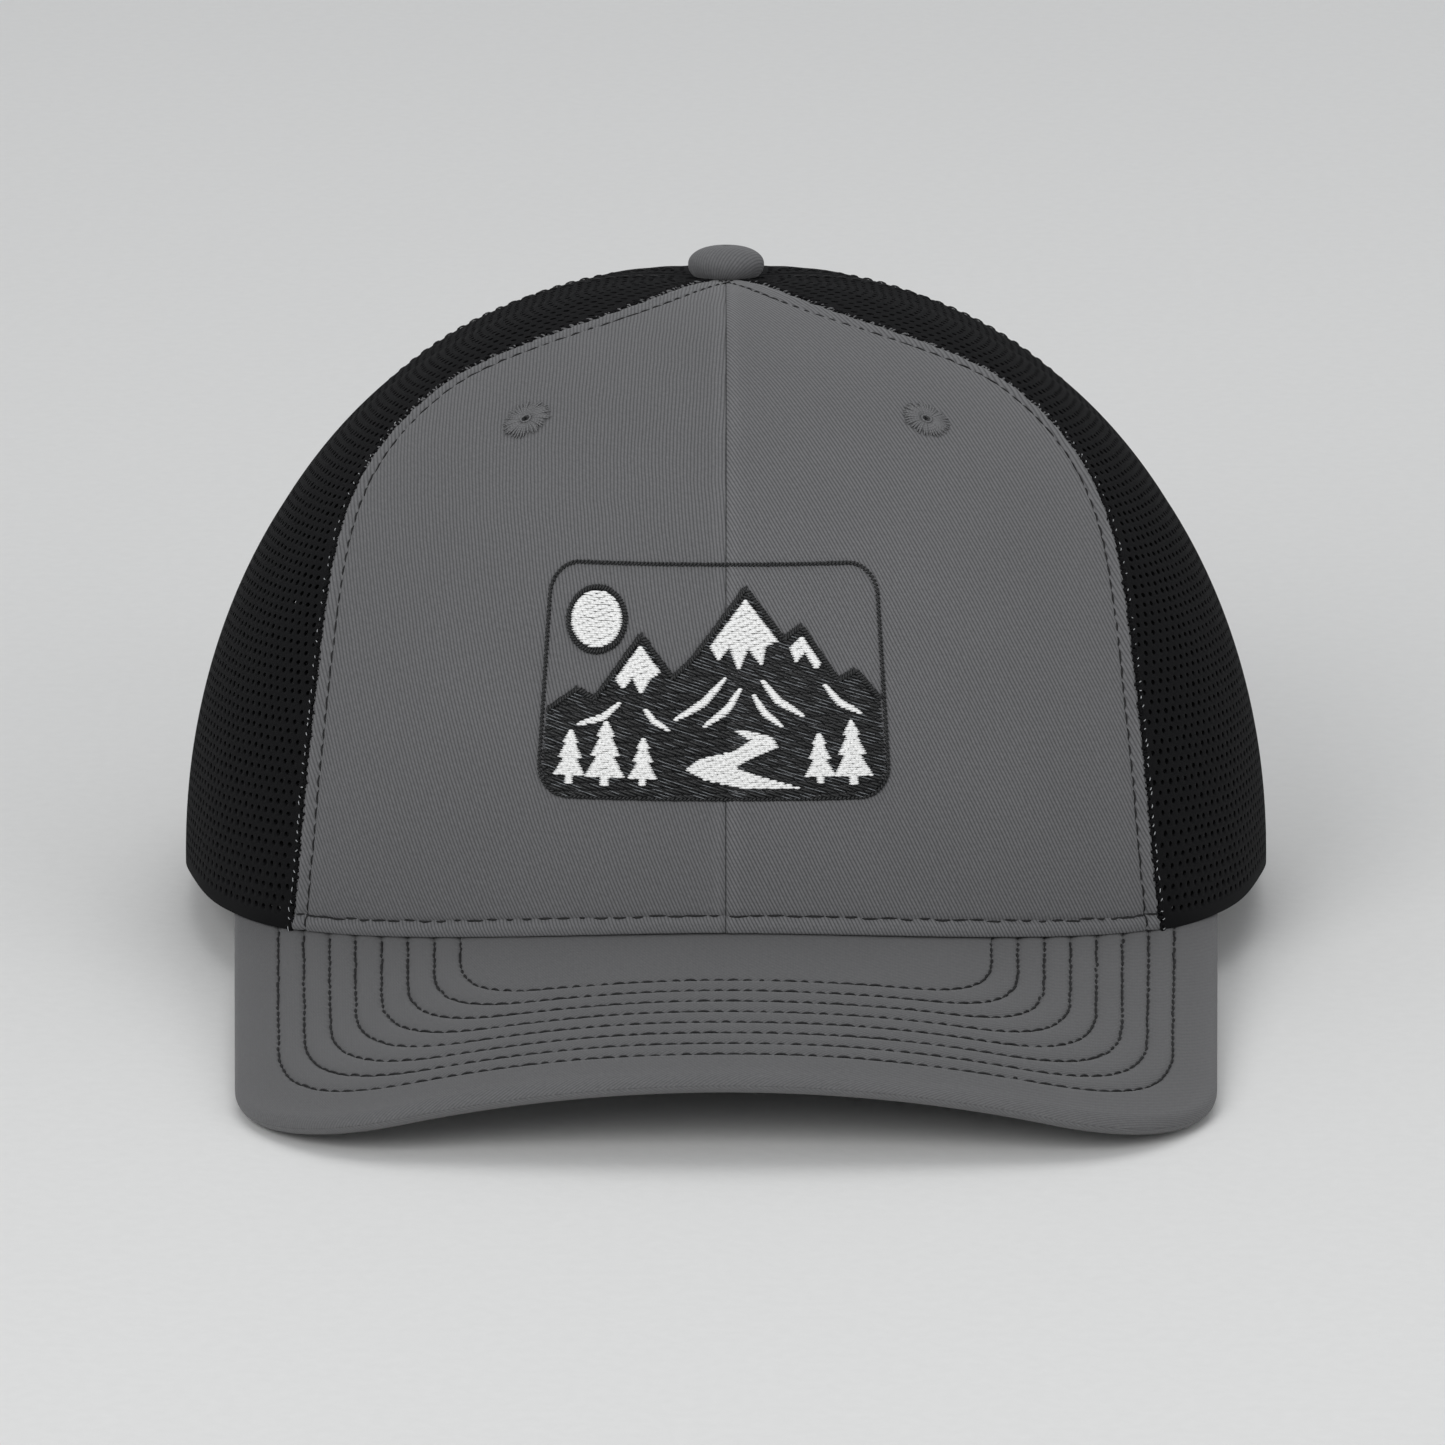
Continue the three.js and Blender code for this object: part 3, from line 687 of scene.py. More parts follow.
def plain_weave(name, grey, pitch, rough=0.9, spread=0.2):
    """Plain weave: crossing yarns, over and under."""
    n = Nodes(name)
    uv = n.cloth_uv()
    u, v = n.split(uv)
    a = n.ridge(n.math("DIVIDE", u, pitch), 0.7)
    b = n.ridge(n.math("DIVIDE", v, pitch), 0.7)
    check = n.math("MAXIMUM", a, b)
    fleck = n.noise(uv, 1.6, 3)
    shades = n.between(check, 1 - spread, 1 + spread), n.between(fleck, 0.85, 1.15)
    colour = n.tint(grey, *shades, n.between(n.noise(uv, 0.06), 0.92, 1.08))
    rough = n.between(fleck, rough - 0.08, rough)
    return n.finish(colour, check, 0.0001, 0.5, rough, Sheen_Weight=0.1, Sheen_Roughness=0.5)


def knitted(name, grey):
    """The net's strands: fine knitted filaments with a slight shine."""
    n = Nodes(name)
    uv = n.cloth_uv()
    u, v = n.split(uv)
    strand = n.ridge(n.math("DIVIDE", n.math("ADD", u, n.math("MULTIPLY", v, 0.5)), 0.3), 0.7)
    fleck = n.noise(uv, 2.0, 3)
    colour = n.tint(grey, n.between(strand, 0.75, 1.25), n.between(fleck, 0.7, 1.3))
    rough = n.between(fleck, 0.75, 0.88)
    return n.finish(colour, strand, 0.00006, 0.5, rough, Sheen_Weight=0.0, Specular_IOR_Level=0.1)


def thread(name, grey, rough=0.55, spread=0.22, sheen=0.1):
    """Twisted thread, with u along it in mm and v round it."""
    n = Nodes(name)
    uv = n.cloth_uv()
    u, v = n.split(uv)
    ply = n.ridge(n.math("ADD", n.math("DIVIDE", u, 0.55), v), 0.6)
    fleck = n.noise(uv, 1.1, 2)
    colour = n.tint(grey, n.between(ply, 1 - spread, 1 + spread * 0.6), n.between(fleck, 0.85, 1.15))
    rough = n.between(fleck, rough - 0.1, rough + 0.1)
    return n.finish(colour, ply, 0.00005, 0.6, rough, Sheen_Weight=sheen, Sheen_Roughness=0.4)


def moulded(name, grey, rough, grain=2500.0, **fixed):
    """Moulded plastic or plated metal: fine grain, faint scuffs and uneven gloss."""
    n = Nodes(name)
    place = n.add("ShaderNodeTexCoord").outputs["Object"]
    fine = n.noise(place, grain, 2)
    broad = n.noise(place, 90.0, 4)
    colour = n.tint(grey, n.between(fine, 0.92, 1.08), n.between(broad, 0.9, 1.12))
    return n.finish(colour, fine, 0.00003, 0.35, n.between(broad, rough - 0.1, rough + 0.12), **fixed)


GREY = (0.1, 0.1, 0.103)
BLACK = (0.0045, 0.0045, 0.005)
twill_right = twill("twill_right", GREY, rad(88), pitch=0.57, contrast=0.42, highlit=True)
twill_left = twill("twill_left", GREY, rad(118), pitch=0.57, contrast=0.5, highlit=True)
twill_bill = twill("twill_bill", (0.091, 0.091, 0.093), rad(145), pitch=0.5, contrast=0.2, highlit=True)
twill_button = twill("twill_button", (0.104, 0.104, 0.107), rad(60), pitch=0.6, contrast=0.28)
net_yarn = knitted("net_yarn", BLACK)
backing_cloth = plain_weave("backing_cloth", (0.02, 0.02, 0.022), 1.1)
tape_cloth = plain_weave("tape_cloth", (0.012, 0.012, 0.0135), 0.45)
band_cloth = twill("band_cloth", (0.022, 0.022, 0.025), rad(50), pitch=0.8, contrast=0.2)
label_cloth = plain_weave("label_cloth", (0.68, 0.68, 0.65), 0.35, spread=0.06, rough=0.7)
dark_thread = thread("dark_thread", BLACK, rough=0.7, sheen=0.0)
black_thread = thread("black_thread", (0.006, 0.0065, 0.007), rough=0.5, sheen=0.02)
white_thread = thread("white_thread", (0.86, 0.86, 0.85), rough=0.5, spread=0.1)
grey_thread = thread("grey_thread", (0.112, 0.112, 0.115), spread=0.35)
glint_thread = thread("glint_thread", (0.16, 0.17, 0.18), rough=0.4, sheen=0.0)
# painted light: the pale thread of the specks beside the front seam
painted_light_thread = thread("painted_light_thread", (0.4, 0.41, 0.42))
strap_plastic = moulded("strap_plastic", (0.013, 0.013, 0.014), 0.42)
board_plastic = moulded("board_plastic", (0.7, 0.7, 0.66), 0.6)
steel = moulded("steel", (0.36, 0.37, 0.38), 0.32, grain=4000.0, Metallic=1.0)

# ---------------------------------------------------------------- thread
RINGS = np.array([0.45, 0.9, 1.0, 0.9, 0.45])
SIDES, THREAD_FLAT = 6, 0.85


def tubes(lines, normals, radius):
    """Short tapered threads along n centre lines of len(RINGS) points each."""
    n, k = lines.shape[:2]
    along = unit(np.gradient(lines, axis=1))
    side = unit(np.cross(along, normals))
    up = np.cross(side, along)
    turn_by = 2 * PI * np.arange(SIDES) / SIDES
    c, s = np.cos(turn_by)[:, None], np.sin(turn_by)[:, None]
    round_it = c * side[:, :, None] + THREAD_FLAT * s * up[:, :, None]
    radius = np.broadcast_to(np.asarray(radius, float), (n,))[:, None, None, None]
    ring = lines[:, :, None] + radius * RINGS[None, :, None, None] * round_it
    points = np.concatenate([ring.reshape(n, -1, 3), lines[:, :1], lines[:, -1:]], 1)
    each = points.shape[1]
    base = (np.arange(n) * each)[:, None, None, None]
    i, j = np.meshgrid(np.arange(k - 1), np.arange(SIDES), indexing="ij")
    j2 = (j + 1) % SIDES
    quad = np.stack([i * SIDES + j, i * SIDES + j2, (i + 1) * SIDES + j2, (i + 1) * SIDES + j], -1)
    quads = (quad[None] + base).reshape(-1, 4)
    ends = np.arange(SIDES)
    nxt = (ends + 1) % SIDES
    first = np.stack([nxt, ends, np.full(SIDES, each - 2)], -1)
    last = np.stack([ends, nxt, np.full(SIDES, each - 1)], -1) + np.array([(k - 1) * SIDES] * 2 + [0])
    tips = (np.concatenate([first, last])[None] + base[:, :, :, 0]).reshape(-1, 3)
    run = arc(lines)
    u = np.stack([run[:, i], run[:, i], run[:, i + 1], run[:, i + 1]], -1)
    v = np.broadcast_to(np.stack([j, j + 1, j + 1, j], -1) / SIDES, u.shape)
    offset = rng.random((n, 1, 1, 1)) * 10
    uv_quads = np.stack([u + offset, v], -1)
    uv_tips = np.zeros((len(tips), 3, 2)) + offset.ravel().repeat(2 * SIDES)[:, None, None]
    return points.reshape(-1, 3), [quads, tips], [uv_quads, uv_tips]


def sewn(name, groups, material, slot):
    """One object of many threads; groups are (lines, normals, radius)."""
    points, faces, uvs, base = [], [], [], 0
    for lines, normals, radius in groups:
        p, f, uv = tubes(lines, normals, radius)
        points.append(p)
        faces += [x + base for x in f]
        uvs += uv
        base += len(p)
    return make(name, np.concatenate(points), faces, material, uv=uvs, slot=slot, sharp=180)


SINK = np.array([-1.0, 0.25, 0.6, 0.25, -1.0])


def running(points, normals, pitch, dash, radius, wander=0.12, lift=0.0):
    """Running stitch along a line on a surface: a dash of thread in every pitch."""
    run = arc(points)
    count = max(1, int(run[-1] / pitch))
    step = run[-1] / count
    length = step * dash * (1 + wander * rng.standard_normal(count) * 0.5)
    start = (np.arange(count) + 0.5) * step - length / 2
    share = np.linspace(0, 1, len(RINGS))
    at = start[:, None] + length[:, None] * share
    place, up = sample(at, run, points), unit(sample(at, run, normals))
    along = unit(np.gradient(place, axis=1))
    aside = np.cross(along, up)
    shift = wander * radius * rng.standard_normal((count, 1)) + 0 * share
    place = place + up * (radius * SINK + lift)[None, :, None] + aside * shift[..., None]
    return place, up, radius


# ---------------------------------------------------------------- front panels and backing
EYELET_T, EYELET_F = rad(31), rad(52.6)
RIM_STITCH, SEAM_STITCH = 2.9, 3.5
EDGE_MARKS = [0.0, 0.1, 0.25, 0.45, 0.8, 1.2, 1.8, 2.5, 2.9, 3.2, 3.5, 3.8, 4.2, 4.7]
RIM_MARKS = [0, 0.1, 0.25, 0.45, 0.9, 1.5, 2.1, 2.5, 2.9, 3.3, 3.8, 4.5]
MID_PANEL = rad(23)
rises, up = rise_rows(MID_PANEL, rise_at_radius(MID_PANEL, TOP_HOLE), RIM_MARKS, 0.95)


def seam_stitch(f):
    """Distance of the stitch line from the front seam."""
    return SEAM_STITCH + 0.7 * smooth(rad(60), rad(80), f)


def front_relief(across, wide, up, side, f):
    """How far the front cloth stands proud of the crown: rolled edges, the pull of the
    stitches, the pressed centre seam, and a faint line of the seam allowance beside it."""
    seam = (wide - across) / slant(front_seam, np.clip(f, *INSIDE))
    fade = smooth(0, 8, wide)
    pull, draw = 1 + 0.3 * ripple(up, 2.6), 1 + 0.3 * ripple(across, 2.6)
    out = 0.16 * bump_at(seam, 1.2, 0.8) - 0.26 * bump_at(seam, seam_stitch(f), 0.38) * pull
    out = out + 0.05 * (ripple(up, 5.3, 0.7 * np.sin(up / 7)) * np.exp(-seam / 5))
    out = out + 0.14 * bump_at(up, 1.5, 0.9) - 0.3 * bump_at(up, RIM_STITCH, 0.4) * draw
    out = out + 0.05 * ripple(across, 6.1, side) * np.exp(-np.abs(up - RIM_STITCH) / 5)
    out = out - 0.16 * bump_at(across, 0, 0.4) * pull + 0.07 * bump_at(across, 1.3, 0.8)
    if side > 0:
        out = out - 0.07 * bump_at(across, 4.6, 0.35) + 0.05 * smooth(5.2, 4.4, across)
    broad = np.sin(across / 17 + 1.3 * side) * np.sin(up / 23 + 0.5) + 0.5 * np.sin(up / 9 + across / 13)
    return (out + 0.09 * broad) * fade


def panel_pieces(side, word, material):
    near = [0.0, 0.1, 0.25, 0.5, 0.9, 1.3, 1.8, 2.5, 3.4, 4.0, 4.35, 4.6, 4.85, 5.3]
    angles, across = seam_grid(front_seam, near, EDGE_MARKS, 66)
    f = rises[:, None] + 0 * angles
    high = up[:, None] + 0 * across
    wide = across[:, -1:] + 0 * across
    clear = 0.05 / np.maximum(plan_radius(MID_PANEL, f), 1)
    share = across / wide
    t = angles - clear * share * share
    edge = np.minimum(np.minimum(4 * across, 2 * (wide - across)), high)
    lean = slant(front_seam, np.clip(rises, *INSIDE))[:, None]
    relief = front_relief(across, wide, high, side, f)
    keep, t, f = vent_hole(t, f)
    # painted highlight: a mark that lightens the raised rolls beside the front seam, the rim and the centre seam
    wear = np.maximum(bump_at((wide - across) / lean, 0.9, 0.7), bump_at(high, 1.4, 1.0)) * 0.8
    wear = np.maximum(wear, bump_at(across, 1.2, 0.9) * 0.5)
    xyz = crown(side * t, f, 0)
    grain = xyz[..., 0] - 0.0026 * np.maximum(0, 90 - high) ** 2 * (side < 0)
    uv = np.stack([grain, high + 0.12 * side * across], -1)
    front = cloth(
        f"front_cloth_{word}", lambda d: crown(side * t, f, d), 0.0, 0.8, side * across, high, material,
        relief=relief, edge=edge, keep=keep, uv=uv, wear=wear, slot="grey_twill",
    )
    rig.replaces(front, f"front_panel_{word}")
    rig.sheet(
        front, flat=(0.088, 0.138), area=0.0088, held="stretched", rests_on=[f"front_stiffener_{word}"],
    )
    back = cloth(
        f"front_stiffener_{word}", lambda d: crown(side * t, f, d), 1.1, 0.55, side * across, high,
        backing_cloth, relief=0.05 * np.sin(across / 6) * np.sin(high / 8), edge=edge, keep=keep,
        slot="stiff_backing",
    )
    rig.replaces(back, f"front_backing_{word}")
    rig.sheet(back, flat=(0.088, 0.138), area=0.0088, held="stretched", rests_on=[f"front_cloth_{word}"])


def vent_hole(t, f):
    """Opens the grid cell nearest the eyelet and moves its corners onto a small circle."""
    gap = (t - EYELET_T) ** 2 + (f - EYELET_F) ** 2
    i, j = np.unravel_index(np.argmin(gap), gap.shape)
    keep = np.ones((t.shape[0] - 1, t.shape[1] - 1), bool)
    keep[i, j] = False
    t, f = t.copy(), f.copy()
    per_t = np.linalg.norm(crown(EYELET_T + 0.01, EYELET_F, 0) - crown(EYELET_T, EYELET_F, 0)) / 0.01
    per_f = np.linalg.norm(crown(EYELET_T, EYELET_F + 0.01, 0) - crown(EYELET_T, EYELET_F, 0)) / 0.01
    for di, dj in ((0, 0), (0, 1), (1, 0), (1, 1)):
        t[i + di, j + dj] = EYELET_T + (2 * dj - 1) * 0.75 / per_t
        f[i + di, j + dj] = EYELET_F + (2 * di - 1) * 0.75 / per_f
    return keep, t, f


panel_pieces(1, "left", twill_left)
panel_pieces(-1, "right", twill_right)

# ---------------------------------------------------------------- net panels
CELL, ROW = 2.3, 1.62
HOLE_WIDE, HOLE_TALL = 0.54, 0.46
OUTER = np.array([(1, 1), (0, 1), (-1, 1), (-1, 0), (-1, -1), (0, -1), (1, -1), (1, 0)])
ring_turns = rad([48, 90, 132, 180, 228, 270, 312, 0])
RING = np.stack([np.cos(ring_turns), np.sin(ring_turns)], -1)
NET_FACE, NET_BACK, LIP = 0.04, 0.62, 0.04


def above_table(points):
    """Points lifted to stand just clear of the surface that the cap stands on."""
    short = np.maximum(0.0, 0.4 - 1000 * world(points)[..., 2])
    return points + short[..., None] * np.array([0.0, -np.sin(TILT), np.cos(TILT)])


def net_waves(t, f):
    """Soft unevenness of the net between its seams."""
    return 0.12 * np.sin(9 * t + 2.2 * np.sin(4 * f)) * np.sin(2 * f) ** 0.5 + 0.05 * np.sin(23 * t + 7 * f)


def net_panel(place, word, side, start, stop):
    """A net knitted as a lattice of staggered cells, each with an oval hole between
    lens-shaped strands; cells that meet a seam, the rim or the arch stay closed."""
    middle = (start(0.0) + stop(0.0)) / 2
    f_line = np.linspace(0, rise_at_radius(middle, TOP_HOLE), 600)
    b_line = arc(crown(np.full_like(f_line, middle), f_line, 0))
    rows = int(round(b_line[-1] / ROW))
    tall = b_line[-1] / rows
    half = int(75 / CELL)
    cells = np.array([(2 * k + j % 2, 2 * j + 1) for j in range(rows) for k in range(-half, half)])
    nodes, index = np.unique((cells[:, None] + OUTER[None]).reshape(-1, 2), axis=0, return_inverse=True)
    index = index.reshape(-1, 8)

    def limits(b):
        f = np.interp(b, b_line, f_line)
        rho = np.maximum(plan_radius(middle, f), 0.3)
        low, high = (start(f) - middle) * rho + GAP / 2, (stop(f) - middle) * rho - GAP / 2
        return f, rho, np.minimum(low, high), np.maximum(low, high)

    def to_crown(a, b):
        f, rho, _, _ = limits(b)
        return middle + a / rho, f

    a, b = nodes[:, 0] * CELL / 2, nodes[:, 1] * tall / 2
    _, _, low, high = limits(b)
    alive = ~((a < low) | (a > high))[index].all(1)
    a = np.clip(a, low, high)
    ca, cb = cells[:, 0] * CELL / 2, cells[:, 1] * tall / 2
    _, _, low, high = limits(cb)
    margin = 0.45 * CELL + 0.4
    solid = (ca - margin < low) | (ca + margin > high) | (cells[:, 1] < 2) | (cells[:, 1] > 2 * rows - 4)
    if place == "rear":
        middles = crown(*to_crown(ca, cb), 0)
        alive &= arch_share(middles[:, 0], middles[:, 2], 5.0) > 1
        solid |= arch_share(middles[:, 0], middles[:, 2], 7.2) < 1
    pick = alive & ~solid
    jitter = rng.normal(0, 1, (len(cells), 4))[pick]
    centre = np.stack([ca, cb], -1)[pick] + 0.05 * jitter[:, :2]
    size = np.array([HOLE_WIDE, HOLE_TALL]) * (1 + 0.09 * jitter[:, 2:])
    ring = (centre[:, None] + size[:, None] * RING[None]).reshape(-1, 2)
    n = len(nodes)
    ring_index = n + np.arange(len(ring)).reshape(-1, 8)
    holed, filled = index[pick], index[alive & solid]
    hubs = np.stack([a[filled].mean(1), b[filled].mean(1)], -1)
    hub_index = n + len(ring) + np.arange(len(hubs))
    faces = []
    for k in range(8):
        m = (k + 1) % 8
        faces.append(np.stack([holed[:, k], holed[:, m], ring_index[:, m], ring_index[:, k]], -1))
        faces.append(np.stack([filled[:, k], filled[:, m], hub_index], -1))
    flat = np.concatenate([np.stack([a, b], -1), ring, hubs])
    t, f = to_crown(flat[:, 0], flat[:, 1])
    lip = np.zeros(len(flat))
    lip[n : n + len(ring)] = LIP
    wave = net_waves(t, f)
    outer = above_table(crown(side * t, f, NET_FACE + lip - wave))
    inner = above_table(crown(side * t, f, NET_BACK - lip - wave))
    points, faces, used = thicken(faces, outer, inner)
    name = f"{place}_net_{word}"
    made = make(name, points, faces, net_yarn, uv=twofold(flat)[used], slot="black_net", sharp=80)
    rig.replaces(made, f"{place}_mesh_{word}")
    return made


def arch_share(x, z, margin):
    """1 on the arch's outline grown by a margin, less inside it."""
    tall = np.where(z > ARCH_MID, (z - ARCH_MID) / (ARCH_TALL + margin), 0)
    return (x / (ARCH_HALF + margin)) ** 2 + tall**2


side_nets, rear_nets = {}, {}
for side, word in ((1, "left"), (-1, "right")):
    side_nets[word] = net_panel("side", word, side, front_seam, rear_seam)
    rear_nets[word] = net_panel("rear", word, side, rear_seam, back_seam)

# ---------------------------------------------------------------- tapes, binding, sweatband, label
def strip_ends(n, share=0.04):
    """Samples 0..1 that crowd towards both ends."""
    near = np.array([0, share / 4, share / 2])
    return np.concatenate([near, np.linspace(share, 1 - share, n), 1 - near[::-1]])


def tape(name, seam, side, start):
    stop = rise_at_radius(seam(PI / 2), 9.0)
    f_line = np.linspace(start, stop, 400)
    run = arc(crown(seam(f_line), f_line, 0))
    v = strip_ends(110, 0.01) * run[-1]
    u = strip_ends(16, 0.08) * 2 - 1
    f = np.interp(v, run, f_line)[:, None] + 0 * u[None]
    t = seam(f)
    radius = plan_radius(t, f)
    half = np.minimum(6.5, 0.22 * radius)
    a = u[None] * half
    high = v[:, None] + 0 * a
    edge = np.minimum(half - np.abs(a), np.minimum(high, run[-1] - high))
    relief = 0.05 * bump_at(np.abs(a), 0, 1.2) - 0.06 * bump_at(np.abs(a), 4.6, 0.4)
    relief = relief + 0.03 * np.sin(high / 3.1)
    made = cloth(
        f"{name}_cloth", lambda d: crown(side * t + a / radius, f, d), 2.2, 0.5, a, high, tape_cloth,
        relief=relief, edge=edge, slot="black_tape",
    )
    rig.replaces(made, name)
    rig.sheet(made, flat=(0.013, round(float(run[-1]) / 1000, 3)), held="folded", rests_on=["sweatband_pad"])
    return t, f, half, radius


above_arch = rise_at(PI, ARCH_MID + ARCH_TALL + BINDING + 1, 2)
TAPES = [("centre_front_tape", front_centre, 1, rad(1.5)), ("centre_rear_tape", back_seam, 1, above_arch)]
for side, word in ((1, "left"), (-1, "right")):
    TAPES.append((f"front_side_tape_{word}", front_seam, side, rad(1.5)))
    TAPES.append((f"side_rear_tape_{word}", rear_seam, side, rad(1.5)))
inner_stitches = []
for name, seam, side, start in TAPES:
    t, f, half, radius = tape(name, seam, side, start)
    for hand in (-1, 1):
        line_t = side * t[:, 0] + hand * 0.72 * half[:, 0] / radius[:, 0]
        inner_stitches.append(running(*on_crown(line_t, f[:, 0], 2.72, True), 2.6, 0.8, 0.17))


def arch_line(grow, n=240):
    """Points of the arch's outline, grown, as x and z seen from behind, foot to foot."""
    turn_by = np.linspace(0, PI, n)
    x = (ARCH_HALF + grow) * np.cos(turn_by)
    z = ARCH_MID + (ARCH_TALL + grow) * np.sin(turn_by)
    foot = np.linspace(0, 1, 10)[:-1, None]
    low = REAR_RIM + 1.25
    first = np.concatenate([np.full_like(foot, x[0]), low + (ARCH_MID - low) * foot], 1)
    last = np.concatenate([np.full_like(foot, x[-1]), ARCH_MID + (low - ARCH_MID) * (foot + foot[1])], 1)
    return np.concatenate([first, np.stack([x, z], -1), last])


def arch_point(line, depth):
    x, z = line[..., 0], line[..., 1]
    t = angle_at(x, z, 0.0, front=False)
    t = np.where(np.abs(x) < 1e-6, PI, t)
    return t, rise_at(t, z, 0.0) + 0 * depth


# Across the binding: from its outer edge on the outside, round the arch's edge, to the inside.
fold = [
    (7.9, -0.02), (7.8, -0.3), (7.4, -0.46), (6.6, -0.46), (6.2, -0.36), (5.6, -0.5), (4, -0.55),
    (2.4, -0.5), (1.9, -0.38), (1.4, -0.5), (0.8, -0.5), (0.35, -0.3), (0.08, 0.1), (0, 0.4),
    (0.08, 0.8), (0.35, 1.15), (0.8, 1.32), (1.9, 1.2), (4, 1.35), (6.2, 1.2), (7.4, 1.3),
    (7.8, 1.15), (7.9, 0.86),
]
outer_lines = np.array([arch_line(g) for g, _ in fold])
depths = np.array([d for _, d in fold])[:, None]
t, f = arch_point(outer_lines, depths)
middle = 0.4
pull = np.where(depths < middle, 0.42, -0.42)
grow_in = np.array([min(g + 0.4, 7.9) for g, _ in fold])
t2, f2 = arch_point(np.array([arch_line(g) for g in grow_in]), depths)
run = arc(outer_lines)
wrinkle = 0.06 * np.sin(run / 1.9 + 2 * np.sin(run / 11))
outer = crown(t, f, depths - np.sign(middle - depths) * wrinkle * (np.abs(depths - middle) > 0.5))
inner = crown(t2, f2, np.clip(depths + pull, -0.06, 0.86) * np.ones_like(t2))
across = arc(np.array(fold))[:, None] + 0 * run
flat = np.stack([run, across], -1)
binding = skin("arch_binding_cloth", outer, inner, flat, tape_cloth, slot="black_tape")
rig.replaces(binding, "arch_binding")
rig.sheet(binding, flat=(0.018, 0.16), held="folded", rests_on=["rear_net_left", "rear_net_right"])
arch_stitches = []
for grow in (2.0, 6.3):
    line = arch_line(grow, 300)[3:-3]
    t, f = arch_point(line, 0.0)
    arch_stitches.append(running(*on_crown(t, f, -0.42), 2.7, 0.82, 0.2))
    inner_stitches.append(running(*on_crown(t, f, 1.28, True), 2.7, 0.8, 0.18))


BAND_TALL, BAND_SEAMS = 33.0, (2.0, 31.0)
BAND_BACK, BAND_MIDDLE, BAND_FACE = 3.3, 3.7, 4.15


def band_rise(t, high):
    """The rise of points high mm above the sweatband's lower edge."""
    return rise_at(t, rim_height(t, BAND_MIDDLE) + 1 + high, BAND_MIDDLE)


def sweatband():
    """The band inside the rim: a padded strip sewn along both edges, let swell by the
    cloth solver between its seams, and kept within the room that it has."""
    end = float(angle_at(np.array(48.0), np.array(REAR_RIM), 4.2, front=False))
    run_t = np.linspace(-end, end, 2000)
    run = arc(crown(run_t, rise_at(run_t, rim_height(run_t, 4.2) + 12, 4.2), 4.2))
    length = float(run[-1])
    near = np.array([0, 0.4, 1.0])
    a = np.concatenate([near, np.arange(2.4, length - 2, 2.4), length - near[::-1]])
    low, high = [0, 0.25, 0.6, 1.2, 2.0, 2.8], [30.2, 31.2, 32, 32.5, 32.8, BAND_TALL]
    b = np.concatenate([low, np.linspace(4.4, 28.4, 12), high])
    t = np.interp(a, run, run_t)[None] + 0 * b[:, None]
    high = b[:, None] + 0 * a[None]
    long = a[None] + 0 * high
    f = band_rise(t, high)
    edge = np.minimum(np.minimum(high, BAND_TALL - high), np.minimum(long, length - long))
    dip = edge_dip(edge, 0.5)
    held = np.minimum(high - BAND_SEAMS[0], BAND_SEAMS[1] - high)
    start = 0.25 * smooth(0, 10, held) + 0.05 * np.sin(long / 4.3 + np.sin(long / 19)) * smooth(0, 4, held)
    sewn_in = 0.22 * (bump_at(high, BAND_SEAMS[0], 0.5) + bump_at(high, BAND_SEAMS[1], 0.5))
    outer = crown(t, f, BAND_BACK + dip).reshape(-1, 3)
    inner = crown(t, f, BAND_FACE - dip - sewn_in + start).reshape(-1, 3)
    faces = [grid_faces(*t.shape)]
    loose = np.concatenate([np.zeros(t.size), (held > 0.6).ravel().astype(float)])
    points, faces, used = thicken(faces, outer, inner)
    flat = np.stack([long.ravel(), high.ravel()], -1)
    band = make("sweatband_pad", points, faces, band_cloth, uv=twofold(flat)[used], slot="sweatband_cloth")
    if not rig.quick():
        swell(band, loose[used])
    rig.replaces(band, "sweatband")
    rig.padded(band, fill=0.2)
    for where in BAND_SEAMS:
        line_t = run_t[::4]
        line_f = band_rise(line_t, where)
        inner_stitches.append(running(*on_crown(line_t, line_f, 4.02, True), 2.9, 0.8, 0.19))


SWELL = {
    "quality": 5, "mass": 0.15, "tension_stiffness": 20, "compression_stiffness": 8,
    "bending_stiffness": 0.4, "shrink_min": -0.02, "use_pressure": True,
    "uniform_pressure_force": 1.5, "vertex_group_mass": "sewn",
}
SWELL_FRAMES, SWELL_MOST = 16, 0.55


def swell(obj, loose):
    """Blender's cloth under slight pressure, pinned at the sewn edges; no point moves
    more than SWELL_MOST mm."""
    scene = bpy.context.scene
    before = np.empty(len(obj.data.vertices) * 3, np.float32)
    obj.data.vertices.foreach_get("co", before)
    group = obj.vertex_groups.new(name="sewn")
    for k in np.flatnonzero(loose < 0.5):
        group.add([int(k)], 1.0, "REPLACE")
    solver = obj.modifiers.new("swell", "CLOTH")
    for key, value in SWELL.items():
        setattr(solver.settings, key, value)
    solver.settings.effector_weights.gravity = 0.0
    solver.collision_settings.use_collision = False
    solver.point_cache.frame_start, solver.point_cache.frame_end = 1, SWELL_FRAMES
    for step in range(1, SWELL_FRAMES + 1):
        scene.frame_set(step)
    shaped = obj.evaluated_get(bpy.context.evaluated_depsgraph_get()).to_mesh()
    after = np.empty_like(before)
    shaped.vertices.foreach_get("co", after)
    obj.modifiers.remove(solver)
    obj.vertex_groups.remove(group)
    scene.frame_set(1)
    move = (after - before).reshape(-1, 3)
    far = np.linalg.norm(move, axis=1, keepdims=True)
    move = move * np.minimum(1, SWELL_MOST / 1000 / np.maximum(far, 1e-9)) * (loose[:, None] > 0.5)
    obj.data.vertices.foreach_set("co", (before + move.ravel()).astype(np.float32))
    obj.data.update()


sweatband()

